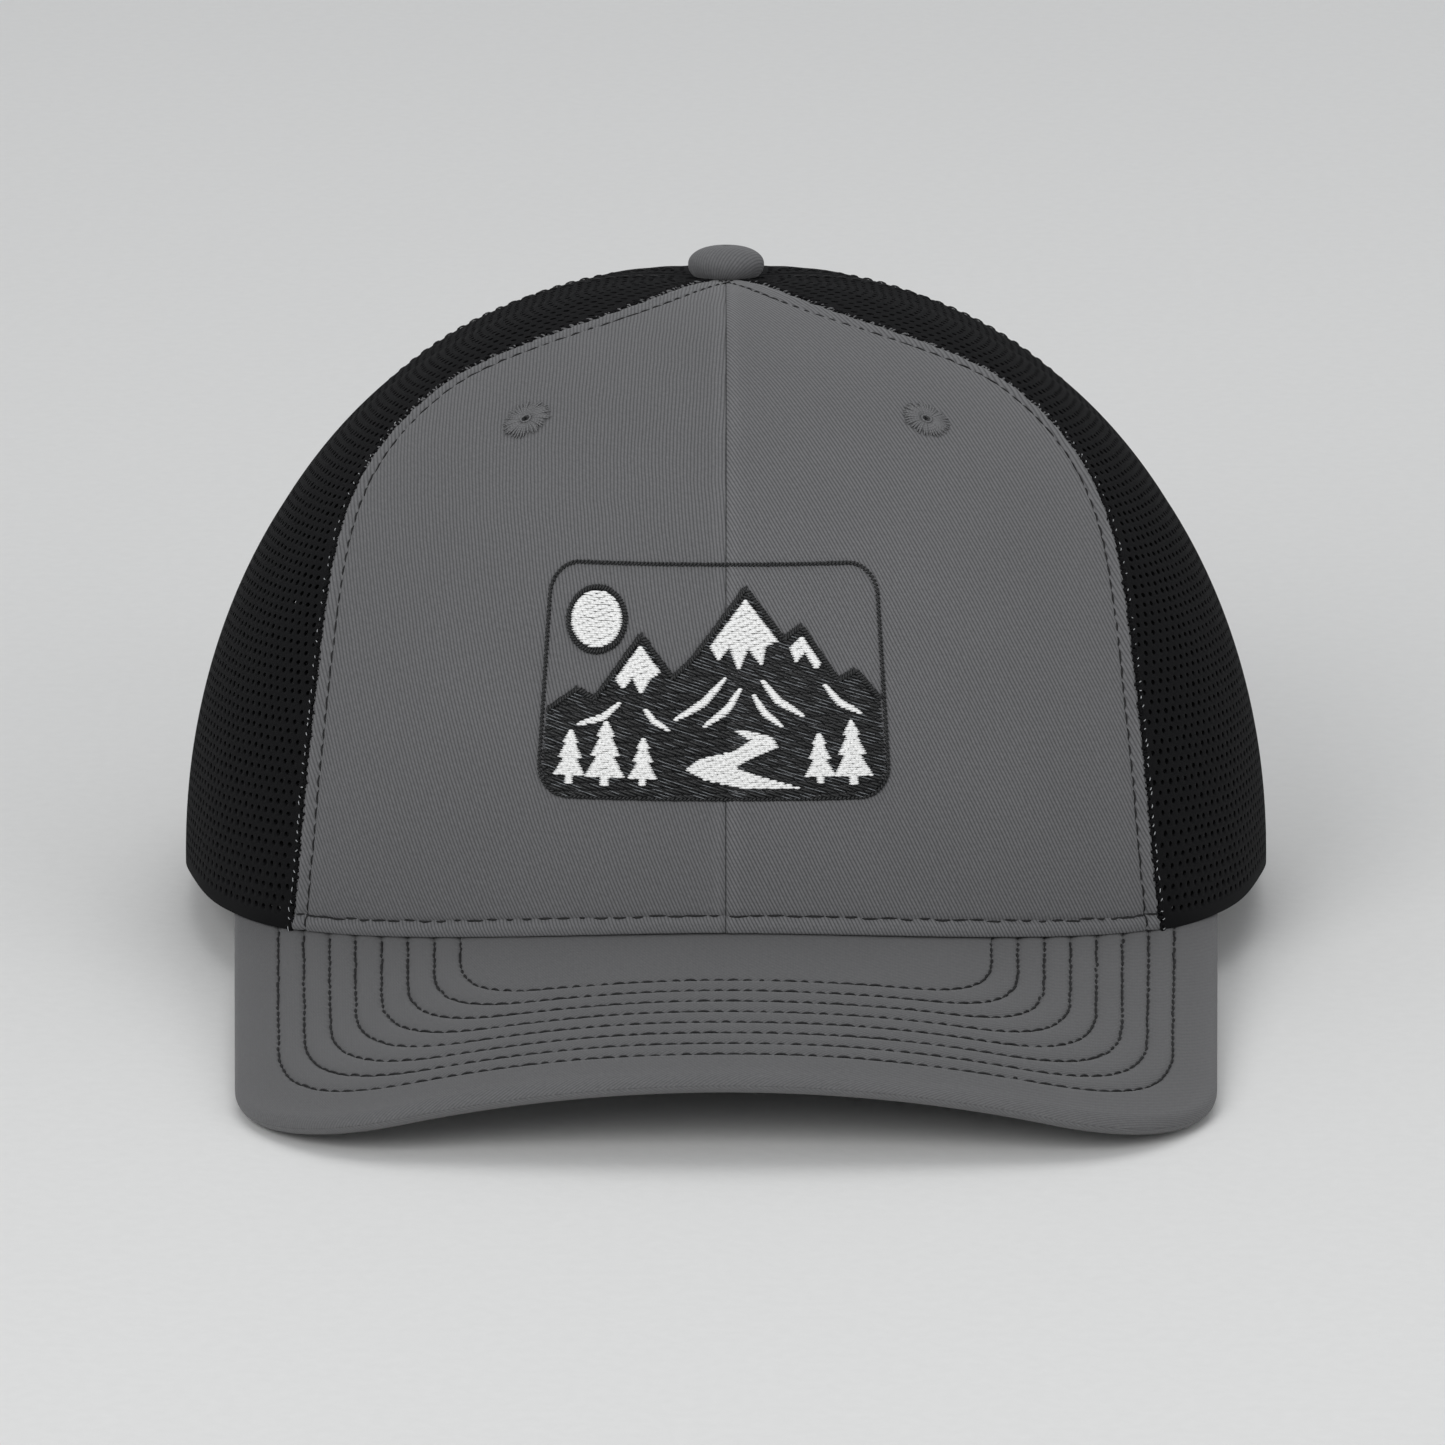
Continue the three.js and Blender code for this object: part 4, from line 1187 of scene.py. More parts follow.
LABEL_AT, LABEL_LOW, LABEL_WIDE, LABEL_TALL = rad(96), 8, 28, 16
LABEL_BACK, LABEL_THICK, LABEL_FACE, LABEL_SEAM = 4.9, 0.3, 5.2, 1.2
u, v = np.meshgrid(strip_ends(20), strip_ends(14))
t = LABEL_AT + (u - 0.5) * LABEL_WIDE / HALF
a, b = u * LABEL_WIDE, v * LABEL_TALL
edge = np.minimum(np.minimum(a, LABEL_WIDE - a), np.minimum(b, LABEL_TALL - b))
relief = 0.05 * np.sin(a / 4.0) * np.sin(b / 5.0) - 0.08 * bump_at(edge, LABEL_SEAM, 0.3)
label = cloth(
    "care_label_cloth", lambda d: crown(t, rise_at(t, LABEL_LOW + b, d), d),
    LABEL_BACK, LABEL_THICK, a, b, label_cloth, relief=relief, edge=edge, slot="label_cloth",
)
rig.replaces(label, "care_label")
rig.sheet(label, flat=(0.028, 0.016), held="laid", rests_on=["sweatband_pad"])
low, far, top = LABEL_SEAM, LABEL_WIDE - LABEL_SEAM, LABEL_TALL - LABEL_SEAM
corners = np.array([(low, low), (far, low), (far, top), (low, top), (low, low)])
share = np.linspace(0, 1, 200) * 4
line = sample(share, range(5), corners)
line_t = LABEL_AT + (line[:, 0] / LABEL_WIDE - 0.5) * LABEL_WIDE / HALF
line_f = rise_at(line_t, LABEL_LOW + line[:, 1], LABEL_FACE)
sewn(
    "label_stitching", [running(*on_crown(line_t, line_f, LABEL_FACE, True), 2.2, 0.75, 0.12)],
    dark_thread, "embroidery_thread",
)

# ---------------------------------------------------------------- bill
ROWS, ROW_SIDE, ROW_FRONT = 8, 4.4, 4.27
N = 180


def row_line(k):
    """Half of a stitched row of the flat bill, from the crown round its corner to the
    centre of the front."""
    p, q = 74.2 - ROW_SIDE * k, 48.4 - ROW_FRONT * k
    reach_p, reach_q = 23 - 1.3 * k, 27 - 1.8 * k
    fall = 1 / (2400 - 240 * k)

    def front(x):
        return q - x * x * fall

    side = np.stack([np.full(60, p), np.linspace(float(bill_back(p)), front(p) - reach_q, 60)], -1)
    start = p - reach_p
    turn_in = np.array([p, front(start) - 2 * start * fall * reach_p])
    bend = curve(side[-1], turn_in, np.array([start, front(start)]), 60)
    x = np.linspace(start, 0, 80)[1:]
    return spaced(np.concatenate([side, bend, np.stack([x, front(x)], -1)]), N)


def outline():
    """Half of the bill's outline, back corner to the centre of the front, and the
    direction into the bill at each point."""
    corner_q = float(bill_front(BILL_HALF))
    side = np.stack([np.full(200, BILL_HALF), np.linspace(float(bill_back(BILL_HALF)), corner_q, 200)], -1)
    p = BILL_HALF * np.cos(np.linspace(0, PI / 2, 900))[1:]
    line = spaced(np.concatenate([side, np.stack([p, bill_front(p)], -1)]), N)
    along = unit(np.gradient(line, axis=0))
    along[0], along[-1] = (0, 1), (-1, 0)
    return line, sideways(along)


edge_line, inwards = outline()
row_lines = [row_line(k) for k in range(ROWS)]
last_p = row_lines[-1][0, 0]
rim_p = np.linspace(last_p, 0, N)
rim_line = np.stack([rim_p, bill_back(rim_p)], -1)
NOSE = BILL_THICK / 2 - 0.02


def bill_waves(p, q):
    """Soft unevenness of the bill's cloth."""
    return 0.12 * np.sin(p / 19 + 0.6) * np.sin(q / 15) + 0.05 * np.sin(p / 7.5 + q / 9)


def bill_layer(name, under):
    """One cloth of the bill, from the seam on its nose inwards over the stitched rows."""
    rows = []

    def add(line, depth=0.0, lean=PI / 2, lift=0.0, cut=0.0, wear=0.0):
        rows.append((line, depth, lean, lift, cut, wear))

    # painted highlight: the rows round the bill's nose get the lightening mark, strongest at the very edge and fading
    # over the shoulder rows
    for a in np.linspace(0, PI / 2, 9):
        line = edge_line + inwards * NOSE * (1 - np.cos(a))
        add(line, NOSE * (1 - np.sin(a)), a, wear=0.6 + 0.4 * np.cos(a))
    shoulder = rows[-1][0]
    for s in np.linspace(0, 1, 18)[1:-1]:
        line = shoulder * (1 - s) + row_lines[0] * s
        add(line, lift=0.12 * np.sin(PI * s), cut=bump_at(9 * (1 - s), 0, 0.4), wear=0.6 * (1 - s) ** 3)
    for r in range(ROWS - 1):
        for s in (0.0, 0.1, 0.22, 0.4, 0.6, 0.78, 0.9):
            line, near = row_lines[r] * (1 - s) + row_lines[r + 1] * s, min(s, 1 - s) * ROW_SIDE
            add(line, lift=0.2 * np.sin(PI * s), cut=bump_at(near, 0, 0.4))
    for s in np.concatenate([[0, 0.02, 0.05], np.linspace(0.1, 1, 18)]):
        add(row_lines[-1] * (1 - s) + rim_line * s, lift=0.12 * np.sin(PI * s), cut=bump_at(s * 21, 0, 0.4))
    half = np.array([r[0] for r in rows])
    full = np.array([mirrored(line) for line in half])
    level = 0 * full[..., 0]
    depth, lean, lift, cut, wear = (np.array([r[k] for r in rows])[:, None] + level for k in range(1, 6))
    pull = 1 + 0.25 * ripple(arc(full), 2.6)
    relief = (lift - 0.3 * cut * pull) * (0.35 if under else 1.0)
    if not under:
        relief = relief + bill_waves(full[..., 0], full[..., 1]) * smooth(0.6, PI / 2, lean)
    both = mirrored(inwards)
    inner_flat = full + BILL_CLOTH * np.cos(lean)[..., None] * both[None]

    def place(flat, d):
        d = BILL_THICK - d if under else d
        return bill_point(flat[..., 0], flat[..., 1], d)

    outer = place(full, depth - relief)
    inner = place(inner_flat, depth + BILL_CLOTH * np.sin(lean) - relief.clip(-0.25))
    grain = full - both * depth[..., None]
    return skin(name, outer, inner, grain, twill_bill, wear=wear, slot="grey_twill")


def bill_back_tape():
    """The tape that covers the back edge of the bill inside the crown."""
    p = BILL_HALF * np.sin(np.linspace(-PI / 2, PI / 2, 2000))
    line = spaced(np.stack([p, bill_back(p)], -1), 260)
    along = unit(np.gradient(line, axis=0))
    inside = -sideways(along)
    depth = (strip_ends(8, 0.06) * (BILL_THICK + 0.5) - 0.25)[None]
    long = arc(line)[:, None] + 0 * depth
    deep = depth + 0 * long

    def place(d):
        d = d + 0 * deep
        p = line[:, :1] + inside[:, :1] * (0.15 + d)
        q = line[:, 1:] + inside[:, 1:] * (0.15 + d)
        return bill_point(p, q, deep)

    return cloth("bill_back_tape_cloth", place, 0.0, 0.4, long, deep, tape_cloth, slot="black_tape")


back_tape = bill_back_tape()
for name, node, more in (("top", "top", []), ("under", "bottom", [back_tape])):
    made = bill_layer(f"bill_cloth_{name}", name == "under")
    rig.replaces(made, f"bill_{node}_fabric")
    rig.sheet(
        made, flat=(0.166, 0.118), area=0.0136, held="stretched", rests_on=["bill_board"], with_pieces=more,
    )


def bill_rows(depth, up):
    groups = []
    for k, half in enumerate(row_lines):
        full = mirrored(half)
        at = bill_point(full[:, 0], full[:, 1], depth)
        t = np.arctan2(at[:, 0], -at[:, 1])
        shown = np.hypot(at[:, 0], at[:, 1]) > rim_radius(t, 0) + 0.2
        full = full[shown]
        p, q, e = *full.T, 1e-3
        along = bill_point(p + e, q, depth) - bill_point(p - e, q, depth)
        ahead = bill_point(p, q + e, depth) - bill_point(p, q - e, depth)
        normal = -unit(np.cross(along, ahead)) * up
        at = bill_point(p, q, depth - (bill_waves(p, q) if up > 0 else 0.0))
        groups.append(running(at, normal, 2.5 - 0.03 * k, 0.93, 0.2, wander=0.4, lift=0.05))
    return groups


sewn("bill_stitching_top", bill_rows(0.16, 1), dark_thread, "embroidery_thread")
sewn("bill_stitching_under", bill_rows(BILL_THICK - 0.1, -1), dark_thread, "embroidery_thread")

# ---------------------------------------------------------------- stitching on the crown
def across_to(t, f):
    line = np.linspace(0, 1, 40) * t[:, None]
    return arc(crown(line, f[:, None], 0))[:, -1]


def on_front(side, t, f, lift=0.0):
    """Points and normals on the face of the front cloth, t counted from its centre."""
    relief = front_relief(across_to(t, f), across_to(front_seam(f), f), np.interp(f, rises, up), side, f)
    return on_crown(side * t, f, -relief - lift)


f_line = np.linspace(np.interp(0.6, up, rises), rise_at_radius(rad(27), 6.2), 500)
rim_rise = float(np.interp(RIM_STITCH, up, rises))
front_stitches, net_stitches = [], []


def on_net(side, t, f):
    """A row of stitches on the face of the net."""
    net_stitches.append(running(*on_crown(side * t, f, -net_waves(t, f) - 0.02), 2.7, 0.8, 0.18))


for side in (1, -1):
    t = front_seam(f_line)
    t = t - seam_stitch(f_line) * slant(front_seam, f_line) / metric(t, f_line)
    front_stitches.append(running(*on_front(side, t, f_line, 0.08), 2.6, 0.93, 0.16, wander=0.4))
    t = np.linspace(0.004, front_seam(rim_rise) - 0.004, 300)
    front_stitches.append(running(*on_front(side, t, 0 * t + rim_rise, 0.08), 3.1, 0.98, 0.18, wander=0.6))
    for off in (-4.6, 4.6):
        t = REAR_SEAM + off / metric(rear_seam(f_line), f_line)
        keep = np.abs(off) < 0.4 * plan_radius(rear_seam(f_line), f_line)
        t, f = t[keep], f_line[keep]
        on_net(side, t, f)
    f = f_line[(f_line > above_arch + 0.01) & (plan_radius(PI, f_line) > 12)]
    t = PI - 4.6 / metric(PI + 0 * f, f)
    on_net(side, t, f)
for place, groups in (
    ("front", front_stitches), ("net", net_stitches), ("arch", arch_stitches), ("inside", inner_stitches)
):
    sewn(f"{place}_stitching", groups, dark_thread, "embroidery_thread")


seam_f = np.linspace(0.0, rise_at_radius(rad(27), 4.0), 900)
seam_up = arc(crown(front_seam(seam_f), seam_f, 0))


def net_edge(word, side):
    """The net's folded edge along the front seam, a low uneven roll."""
    wide = 1.25 + 0.16 * ripple(seam_up, 1.5) + 0.12 * ripple(seam_up, 4.1, 1)
    wide = wide + 0.08 * rng.standard_normal(len(seam_up))
    u = np.array([0, 0.06, 0.18, 0.35, 0.5, 0.65, 0.82, 0.94, 1.0])
    a = 0.15 + wide[:, None] * u
    f = seam_f[:, None] + 0 * a
    t = front_seam(f) + a * slant(front_seam, f.clip(0.01)) / metric(front_seam(f), f)
    b = seam_up[:, None] + 0 * a
    relief = 0.22 * np.sin(PI * u) ** 0.6 * (1 + 0.35 * ripple(b, 1.5)) - 0.1
    cloth(
        f"net_edge_{word}", lambda d: crown(side * t, f, d), 0.0, 0.5, a, b, net_yarn, relief=relief,
        edge=np.minimum(a - 0.15, wide[:, None] + 0.15 - a), slot="black_net",
    )


def loose(side, count, part, off, lean, length, radius, lift):
    """Short threads beside the front seam: loose ends, and pale specks that are painted light. part is
    the share of its length that they are on, off their distance from it towards the net, lean
    their angle from the level."""
    place = (np.arange(count) + rng.uniform(0.15, 0.85, count)) / count
    at = seam_up[-1] * (part[0] + (part[1] - part[0]) * place)
    f0 = np.interp(at, seam_up, seam_f)
    off, lean = rng.normal(*off, (count, 1)), rng.normal(*lean, (count, 1))
    share = np.linspace(-0.5, 0.5, len(RINGS)) * length
    f1 = f0[:, None] + share * np.sin(lean) / HEIGHT
    across = (off + share * np.cos(lean)) * slant(front_seam, f0.clip(0.01))[:, None]
    t1 = front_seam(f1) + across / metric(front_seam(f0), f0)[:, None]
    high = lift + 0.1 * rng.random((count, 1)) + 0.4 * radius * SINK
    return *on_crown(side * t1, f1, -high), radius


ends, painted_light_specks, teeth = [], [], []
for side, word in ((1, "left"), (-1, "right")):
    net_edge(word, side)
    ends.append(loose(side, 102, (0, 0.98), (-0.05, 0.12), (0, 0.25), 1.5, 0.32, 0.12))
    ends.append(loose(side, 260, (0, 0.98), (0.05, 0.26), (0, 0.6), 1.0, 0.16, 0.2))
    ends.append(loose(side, 110, (0, 0.55), (-0.25, 0.14), (0.2, 0.9), 0.8, 0.19, 0.25))
    # painted light: pale specks that stand for points of light along the seam, set just above the net's edge
    painted_light_specks.append(loose(side, 27, (0, 0.26), (0.2, 0.12), (0.9, 0.5), 0.6, 0.085, 0.45))
    painted_light_specks.append(loose(side, 24, (0.26, 0.6), (0.3, 0.12), (0.9, 0.5), 0.5, 0.08, 0.42))
    teeth.append(loose(side, 105, (0.5, 0.97), (-0.1, 0.1), (0, 0.3), 1.3, 0.2, 0.1))
sewn("net_edge_strands", ends, net_yarn, "black_net")
sewn("net_edge_painted_light", painted_light_specks, painted_light_thread, "grey_thread")
sewn("front_cloth_fringe", teeth, grey_thread, "grey_twill")

for word in ("left", "right"):
    own_edge = [bpy.data.objects[f"net_edge_{word}"]]
    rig.sheet(
        side_nets[word], flat=(0.105, 0.138), area=0.0092, held="stretched", rests_on=["sweatband_pad"],
        with_pieces=own_edge,
    )
    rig.sheet(
        rear_nets[word], flat=(0.11, 0.138), area=0.0072, held="stretched", rests_on=["arch_binding_cloth"],
    )

# ---------------------------------------------------------------- emblem
EMBLEM_X, EMBLEM_Z, EMBLEM_WIDE, EMBLEM_TALL, EMBLEM_CORNER = -2.0, 20.5, 58.3, 37.4, 5.0


def on_emblem(xz, lift):
    """Points and normals on the front for emblem coordinates: x from its middle, z from
    its lower edge."""
    taper = 1 - 0.082 * xz[..., 1] / EMBLEM_TALL
    x, z = xz[..., 0] * taper + EMBLEM_X, xz[..., 1] + EMBLEM_Z
    x = np.where(np.abs(x) < 1e-4, 1e-4, x)
    t = angle_at(x, z, 0.0)
    f = rise_at(t, z, 0.0)
    return on_crown(t, f, -lift)


def stitches(a, b, radius, lift):
    """Single stitches from points a to points b of the emblem."""
    share = np.linspace(0, 1, len(RINGS))[None, :, None]
    at, normal = on_emblem(a[:, None] * (1 - share) + b[:, None] * share, lift + radius * 0.7 * SINK)
    return at, normal, radius


def satin(line, wide, pitch, lean, radius, lift):
    """Slanted stitches side by side across a line."""
    run = arc(line)
    n = int(run[-1] / pitch)
    at = (np.arange(n) + 0.5) * run[-1] / n
    point = sample(at, run, line)
    ahead, behind = np.minimum(at + 0.2, run[-1]), np.maximum(at - 0.2, 0)
    along = unit(sample(ahead, run, line) - sample(behind, run, line))
    aside = sideways(along)
    half = wide / 2 * (1 + 0.08 * rng.standard_normal((n, 1)))
    reach = aside * half + along * half * np.tan(lean)
    return stitches(point - reach, point + reach, radius, lift)


def fill(shapes, angle, spacing, length, radius, lift):
    """Rows of stitches across the inside of the shapes, joined end to end."""
    c, s = np.cos(angle), np.sin(angle)
    back_turn = np.array([[c, s], [-s, c]])
    turned = [np.asarray(shape, float) @ back_turn.T for shape in shapes]
    low, high = min(p[:, 1].min() for p in turned), max(p[:, 1].max() for p in turned)
    starts, stops = [], []
    for row, y in enumerate(np.arange(low + spacing / 2, high, spacing)):
        hits = []
        for p in turned:
            q = np.roll(p, -1, 0)
            over = (p[:, 1] > y) != (q[:, 1] > y)
            a, b = p[over], q[over]
            hits += list(a[:, 0] + (y - a[:, 1]) * (b[:, 0] - a[:, 0]) / (b[:, 1] - a[:, 1]))
        hits.sort()
        for x0, x1 in zip(hits[::2], hits[1::2]):
            if x1 - x0 < 0.25:
                continue
            cuts = np.arange(np.floor(x0 / length) * length + length * ((row * 0.38) % 1), x1, length)
            cuts = cuts[(cuts > x0 + 0.5) & (cuts < x1 - 0.5)]
            ends = np.concatenate([[x0], cuts, [x1]])
            starts += [(x - 0.16, y) for x in ends[:-1]]
            stops += [(x + 0.16, y) for x in ends[1:]]
    a = np.array(starts) + rng.normal(0, 0.03, (len(starts), 2))
    b = np.array(stops) + rng.normal(0, 0.03, (len(stops), 2))
    return stitches(a @ back_turn, b @ back_turn, radius, lift)


def disc(x, z, r):
    a = np.linspace(0, 2 * PI, 60, endpoint=False)
    return np.stack([x + r * np.cos(a), z + r * np.sin(a)], -1)


def closed(line):
    return np.concatenate([line, line[:1]])


def pine(x, z, tall):
    """A fir tree: three tiers on a short trunk."""
    right = np.array([
        (0, 1), (0.14, 0.74), (0.08, 0.74), (0.22, 0.46), (0.12, 0.46), (0.3, 0.14), (0.06, 0.14),
        (0.06, 0),
    ])
    left = right[::-1][:-1] * MIRROR
    return np.concatenate([right, left]) * tall + np.array([x, z])


def stroke(points, wide):
    """A tapering brush mark along a line, as a closed outline."""
    line = spaced(np.array(points, float), 24)
    along = unit(np.gradient(line, axis=0))
    half = wide / 2 * np.sin(np.linspace(0.12, PI - 0.12, len(line))) ** 0.6
    aside = sideways(along) * half[:, None]
    return np.concatenate([line + aside, (line - aside)[::-1]])


ridge = np.array([
    (-27.9, 14), (-23, 17.5), (-20, 16), (-12.5, 26), (-7, 19.5), (-4, 22), (5.5, 33.2), (12, 25.5),
    (15, 27.5), (21, 19), (24, 20.5), (27.9, 16),
])
ground = np.concatenate([ridge, [(28.2, 5), (27.2, 2), (24.5, 0.6), (-24.5, 0.6), (-27.2, 2), (-28.2, 5)]])
peaks = [
    [
        (5.5, 31.6), (-0.6, 24.4), (0.8, 22.2), (2.7, 24.3), (4.2, 20.6), (5.9, 24.0), (8.2, 21.4),
        (8.9, 24.4), (11.0, 25.2),
    ],
    [(-12.5, 24.5), (-16.6, 19.2), (-15.2, 17.6), (-13.7, 19.5), (-12.2, 16.8), (-10.8, 19.2), (-9, 20.4)],
    [(15.2, 25.9), (13.0, 24.2), (13.9, 21.9), (15.6, 23.4), (17.3, 20.6), (18.2, 21.7)],
]
STROKES = [
    ([(2.0, 19.5), (-1.8, 15.6), (-6.5, 13.0)], 1.1),
    ([(4.6, 18.0), (2.2, 14.6), (-1.6, 12.0)], 1.1),
    ([(8.0, 19.4), (10.8, 16.0), (15.0, 13.6)], 1.1),
    ([(6.6, 17.0), (8.4, 14.2), (11.4, 12.0)], 1.0),
    ([(-15.6, 15.6), (-18.4, 13.2), (-22.6, 12.0)], 1.0),
    ([(-11.6, 14.8), (-10.0, 12.8), (-7.4, 11.4)], 0.9),
    ([(18.6, 18.4), (21.0, 15.6), (24.6, 13.8)], 1.0),
]
marks = [stroke(points, wide) for points, wide in STROKES]
river = [
    (3.6, 11.2), (6.2, 9.8), (3.4, 8.2), (-2.2, 6.9), (-4.6, 5.2), (-1.4, 3.6), (5.0, 2.2), (14.5, 2.2),
    (7.2, 4.2), (3.4, 5.6), (6.6, 7.2), (10.6, 8.8), (9.6, 10.4), (5.2, 11.4),
]
WOOD = ((-23.6, 2.6, 8.8), (-17.8, 2.4, 10.6), (-11.6, 2.6, 7.8), (17.4, 3.0, 8.2), (22.8, 2.6, 10.4))
pines = [pine(*place) for place in WOOD]
SUN = (-20.2, 28.3)
sun = disc(*SUN, 4.3)
dark = [fill([ground], rad(-17), 0.5, 3.6, 0.27, 0.22), satin(ridge, 1.0, 0.5, rad(35), 0.25, 0.45)]
dark.append(satin(closed(disc(*SUN, 4.9)), 0.9, 0.5, rad(30), 0.24, 0.4))
corner_turn = np.linspace(0, PI / 2, 12)
frame_line = []
half_wide, half_tall = EMBLEM_WIDE / 2 - 0.5 - EMBLEM_CORNER, EMBLEM_TALL / 2 - 0.5 - EMBLEM_CORNER
for quarter, (sx, sz) in enumerate(((1, 1), (-1, 1), (-1, -1), (1, -1))):
    a = corner_turn + quarter * PI / 2
    x = sx * half_wide + EMBLEM_CORNER * np.cos(a)
    z = EMBLEM_TALL / 2 + sz * half_tall + EMBLEM_CORNER * np.sin(a)
    frame_line.append(np.stack([x, z], -1))
dark.append(satin(closed(np.concatenate(frame_line)), 0.6, 0.66, rad(50), 0.22, 0.3))
light = [fill([shape], 0.0, 0.34, 2.2, 0.22, 0.62) for shape in [*peaks, *marks, river, *pines, sun]]
glints = fill([ground], rad(-17), 0.5, 1.7, 0.07, 0.5)
lit = rng.random(len(glints[0])) < 0.3
black_part = sewn("emblem_dark_thread", dark, black_thread, "embroidery_thread")
white_part = sewn("emblem_light_thread", light, white_thread, "embroidery_thread")
sewn("emblem_glints", [(glints[0][lit], glints[1][lit], glints[2])], glint_thread, "grey_thread")
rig.replaces(black_part, "emblem")
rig.replaces(white_part, "emblem")


# ---------------------------------------------------------------- vent eyelets
def eyelet(word, side):
    """A stitched ring: a low fan of radial stitches under a second, higher fan, and short stitches round the hole."""
    per_t = metric(np.array(EYELET_T), np.array(EYELET_F))
    per_f = np.linalg.norm(crown(EYELET_T, EYELET_F + 1e-3, 0) - crown(EYELET_T, EYELET_F, 0)) / 1e-3

    def at(r, a, lift):
        t, f = EYELET_T + r * np.cos(a) / per_t, EYELET_F + r * np.sin(a) / per_f
        return on_crown(side * t, f, -lift)

    groups = []
    for count, inside, outside, lift, radius in ((52, 0.8, 3.5, 0.06, 0.3), (40, 0.85, 4.15, 0.26, 0.22)):
        a = (np.arange(count) + 0.18 * rng.standard_normal(count)) * 2 * PI / count
        share = np.linspace(0, 1, len(RINGS))
        r0 = inside + 0.08 * rng.random(count)
        r1 = outside + 0.2 * rng.standard_normal(count)
        r = r0[:, None] + (r1 - r0)[:, None] * share
        a = a[:, None] + 0.1 * share
        place, normal = at(r, a, lift + radius * 0.5 * SINK)
        groups.append((place, normal, radius))
    turn_by = np.arange(9) / 9 * 2 * PI
    share = np.linspace(-0.09, 0.09, len(RINGS)) * 2 * PI
    place, normal = at(0.85, turn_by[:, None] + share, 0.3)
    groups.append((place + 0 * normal, normal, 0.2))
    made = sewn(f"vent_eyelet_thread_{word}", groups, grey_thread, "grey_thread")
    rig.replaces(made, f"vent_eyelet_{word}")


eyelet("left", 1)
eyelet("right", -1)


# ---------------------------------------------------------------- snap straps
def tip_corner(s, z):
    """Distances past the centre of the rounded corners of the tip, both ways."""
    ds, dz = TIP_ROUND - TIP - s, np.abs(z) - (STRAP_HALF - TIP_ROUND)
    return np.maximum(ds, 0), np.maximum(dz, 0)


def border(station, angle):
    """Where a ray from the station meets its cell of the strap."""
    c, n = np.cos(angle), np.sin(angle)
    first = station == STATIONS[0]
    left = -TIP if first else station - HALF_PITCH
    sides = np.where(c > 0, HALF_PITCH, station - left)
    reach = np.minimum(sides / np.maximum(np.abs(c), 1e-9), STRAP_HALF / np.maximum(np.abs(n), 1e-9))
    s, z = station + reach * c, reach * n
    if first:
        ds, dz = tip_corner(s, z)
        out = np.hypot(ds, dz)
        cut = (ds > 0) & (dz > 0) & (out > TIP_ROUND)
        pull = TIP_ROUND / np.maximum(out, 1e-9)
        s = np.where(cut, TIP_ROUND - TIP - ds * pull, s)
        z = np.where(cut, np.sign(z) * (STRAP_HALF - TIP_ROUND + dz * pull), z)
    return s, z


def strap_skin(side, lift, holes):
    """A strap from its sewn tab to its rounded tip, its holes cut through the mesh."""
    near_corner = np.arctan2(STRAP_HALF - np.array([0, 0.05, 0.15, 0.3, 0.5]), HALF_PITCH)
    turns = [np.arange(48) * 2 * PI / 48] + [k * PI + h * near_corner for k in (1, 2) for h in (1, -1)]
    angles = np.unique(np.round(np.concatenate(turns) % (2 * PI), 9))
    share = np.array([0, 0.03, 0.09, 0.2, 0.36, 0.52, 0.68, 0.82, 0.91, 0.96, 0.985, 1.0])[:, None]
    pieces, count, points = [], 0, []
    for station in STATIONS:
        s1, z1 = border(station, angles)
        r0 = STRAP_HOLE if holes else 0.0
        s0, z0 = station + r0 * np.cos(angles), r0 * np.sin(angles)
        s, z = s0 * (1 - share) + s1 * share, z0 * (1 - share) + z1 * share
        index = np.arange(s.size).reshape(s.shape) + count
        count += s.size
        nxt = np.roll(index, -1, 1)
        pieces.append(np.stack([index[:-1], index[1:], nxt[1:], nxt[:-1]], -1).reshape(-1, 4))
        points.append(np.stack([s, z, np.hypot(s - station, z) - r0], -1).reshape(-1, 3))
    last = STATIONS[-1] + HALF_PITCH
    edge_s, edge_z = border(STATIONS[-1], angles)
    z_nodes = np.concatenate([[-STRAP_HALF], edge_z[np.abs(edge_s - last) < 1e-6], [STRAP_HALF]])
    s_nodes = np.concatenate([np.linspace(last, TAB_END - 1, 24), [TAB_END - 0.5, TAB_END - 0.2, TAB_END]])
    s, z = np.meshgrid(s_nodes, np.unique(np.round(z_nodes, 9)))
    pieces.append(grid_faces(*s.shape) + count)
    points.append(np.stack([s, z, FAR + 0 * s], -1).reshape(-1, 3))
    points = np.concatenate(points)
    places = np.round(points[:, :2], 4)
    _, first, same = np.unique(places, axis=0, return_index=True, return_inverse=True)
    s, z, gap = points[first].T
    pieces = [same.ravel()[piece] for piece in pieces]
    ds, dz = tip_corner(s, z)
    corner = np.where((ds > 0) & (dz > 0), TIP_ROUND - np.hypot(ds, dz), FAR)
    edge = np.minimum(np.minimum(STRAP_HALF - np.abs(z), s + TIP), np.minimum(TAB_END - s, corner)).clip(0)
    dip, relief = edge_dip(edge, 0.45), 0.04 * bump_at(edge, 1.2, 0.6)
    if holes:
        dip = dip + edge_dip(gap, 0.35)
        relief = 0.16 * bump_at(gap, 0.75, 0.4) + 0.1 * bump_at(edge, 1.2, 0.6)
    depth, high = strap_depth(s, lift), z + STRAP_MIDDLE
    outer = strap_point(side * s, high, depth + dip - relief)
    inner = strap_point(side * s, high, depth + STRAP_THICK - dip)
    return thicken(pieces, outer, inner)[:2]


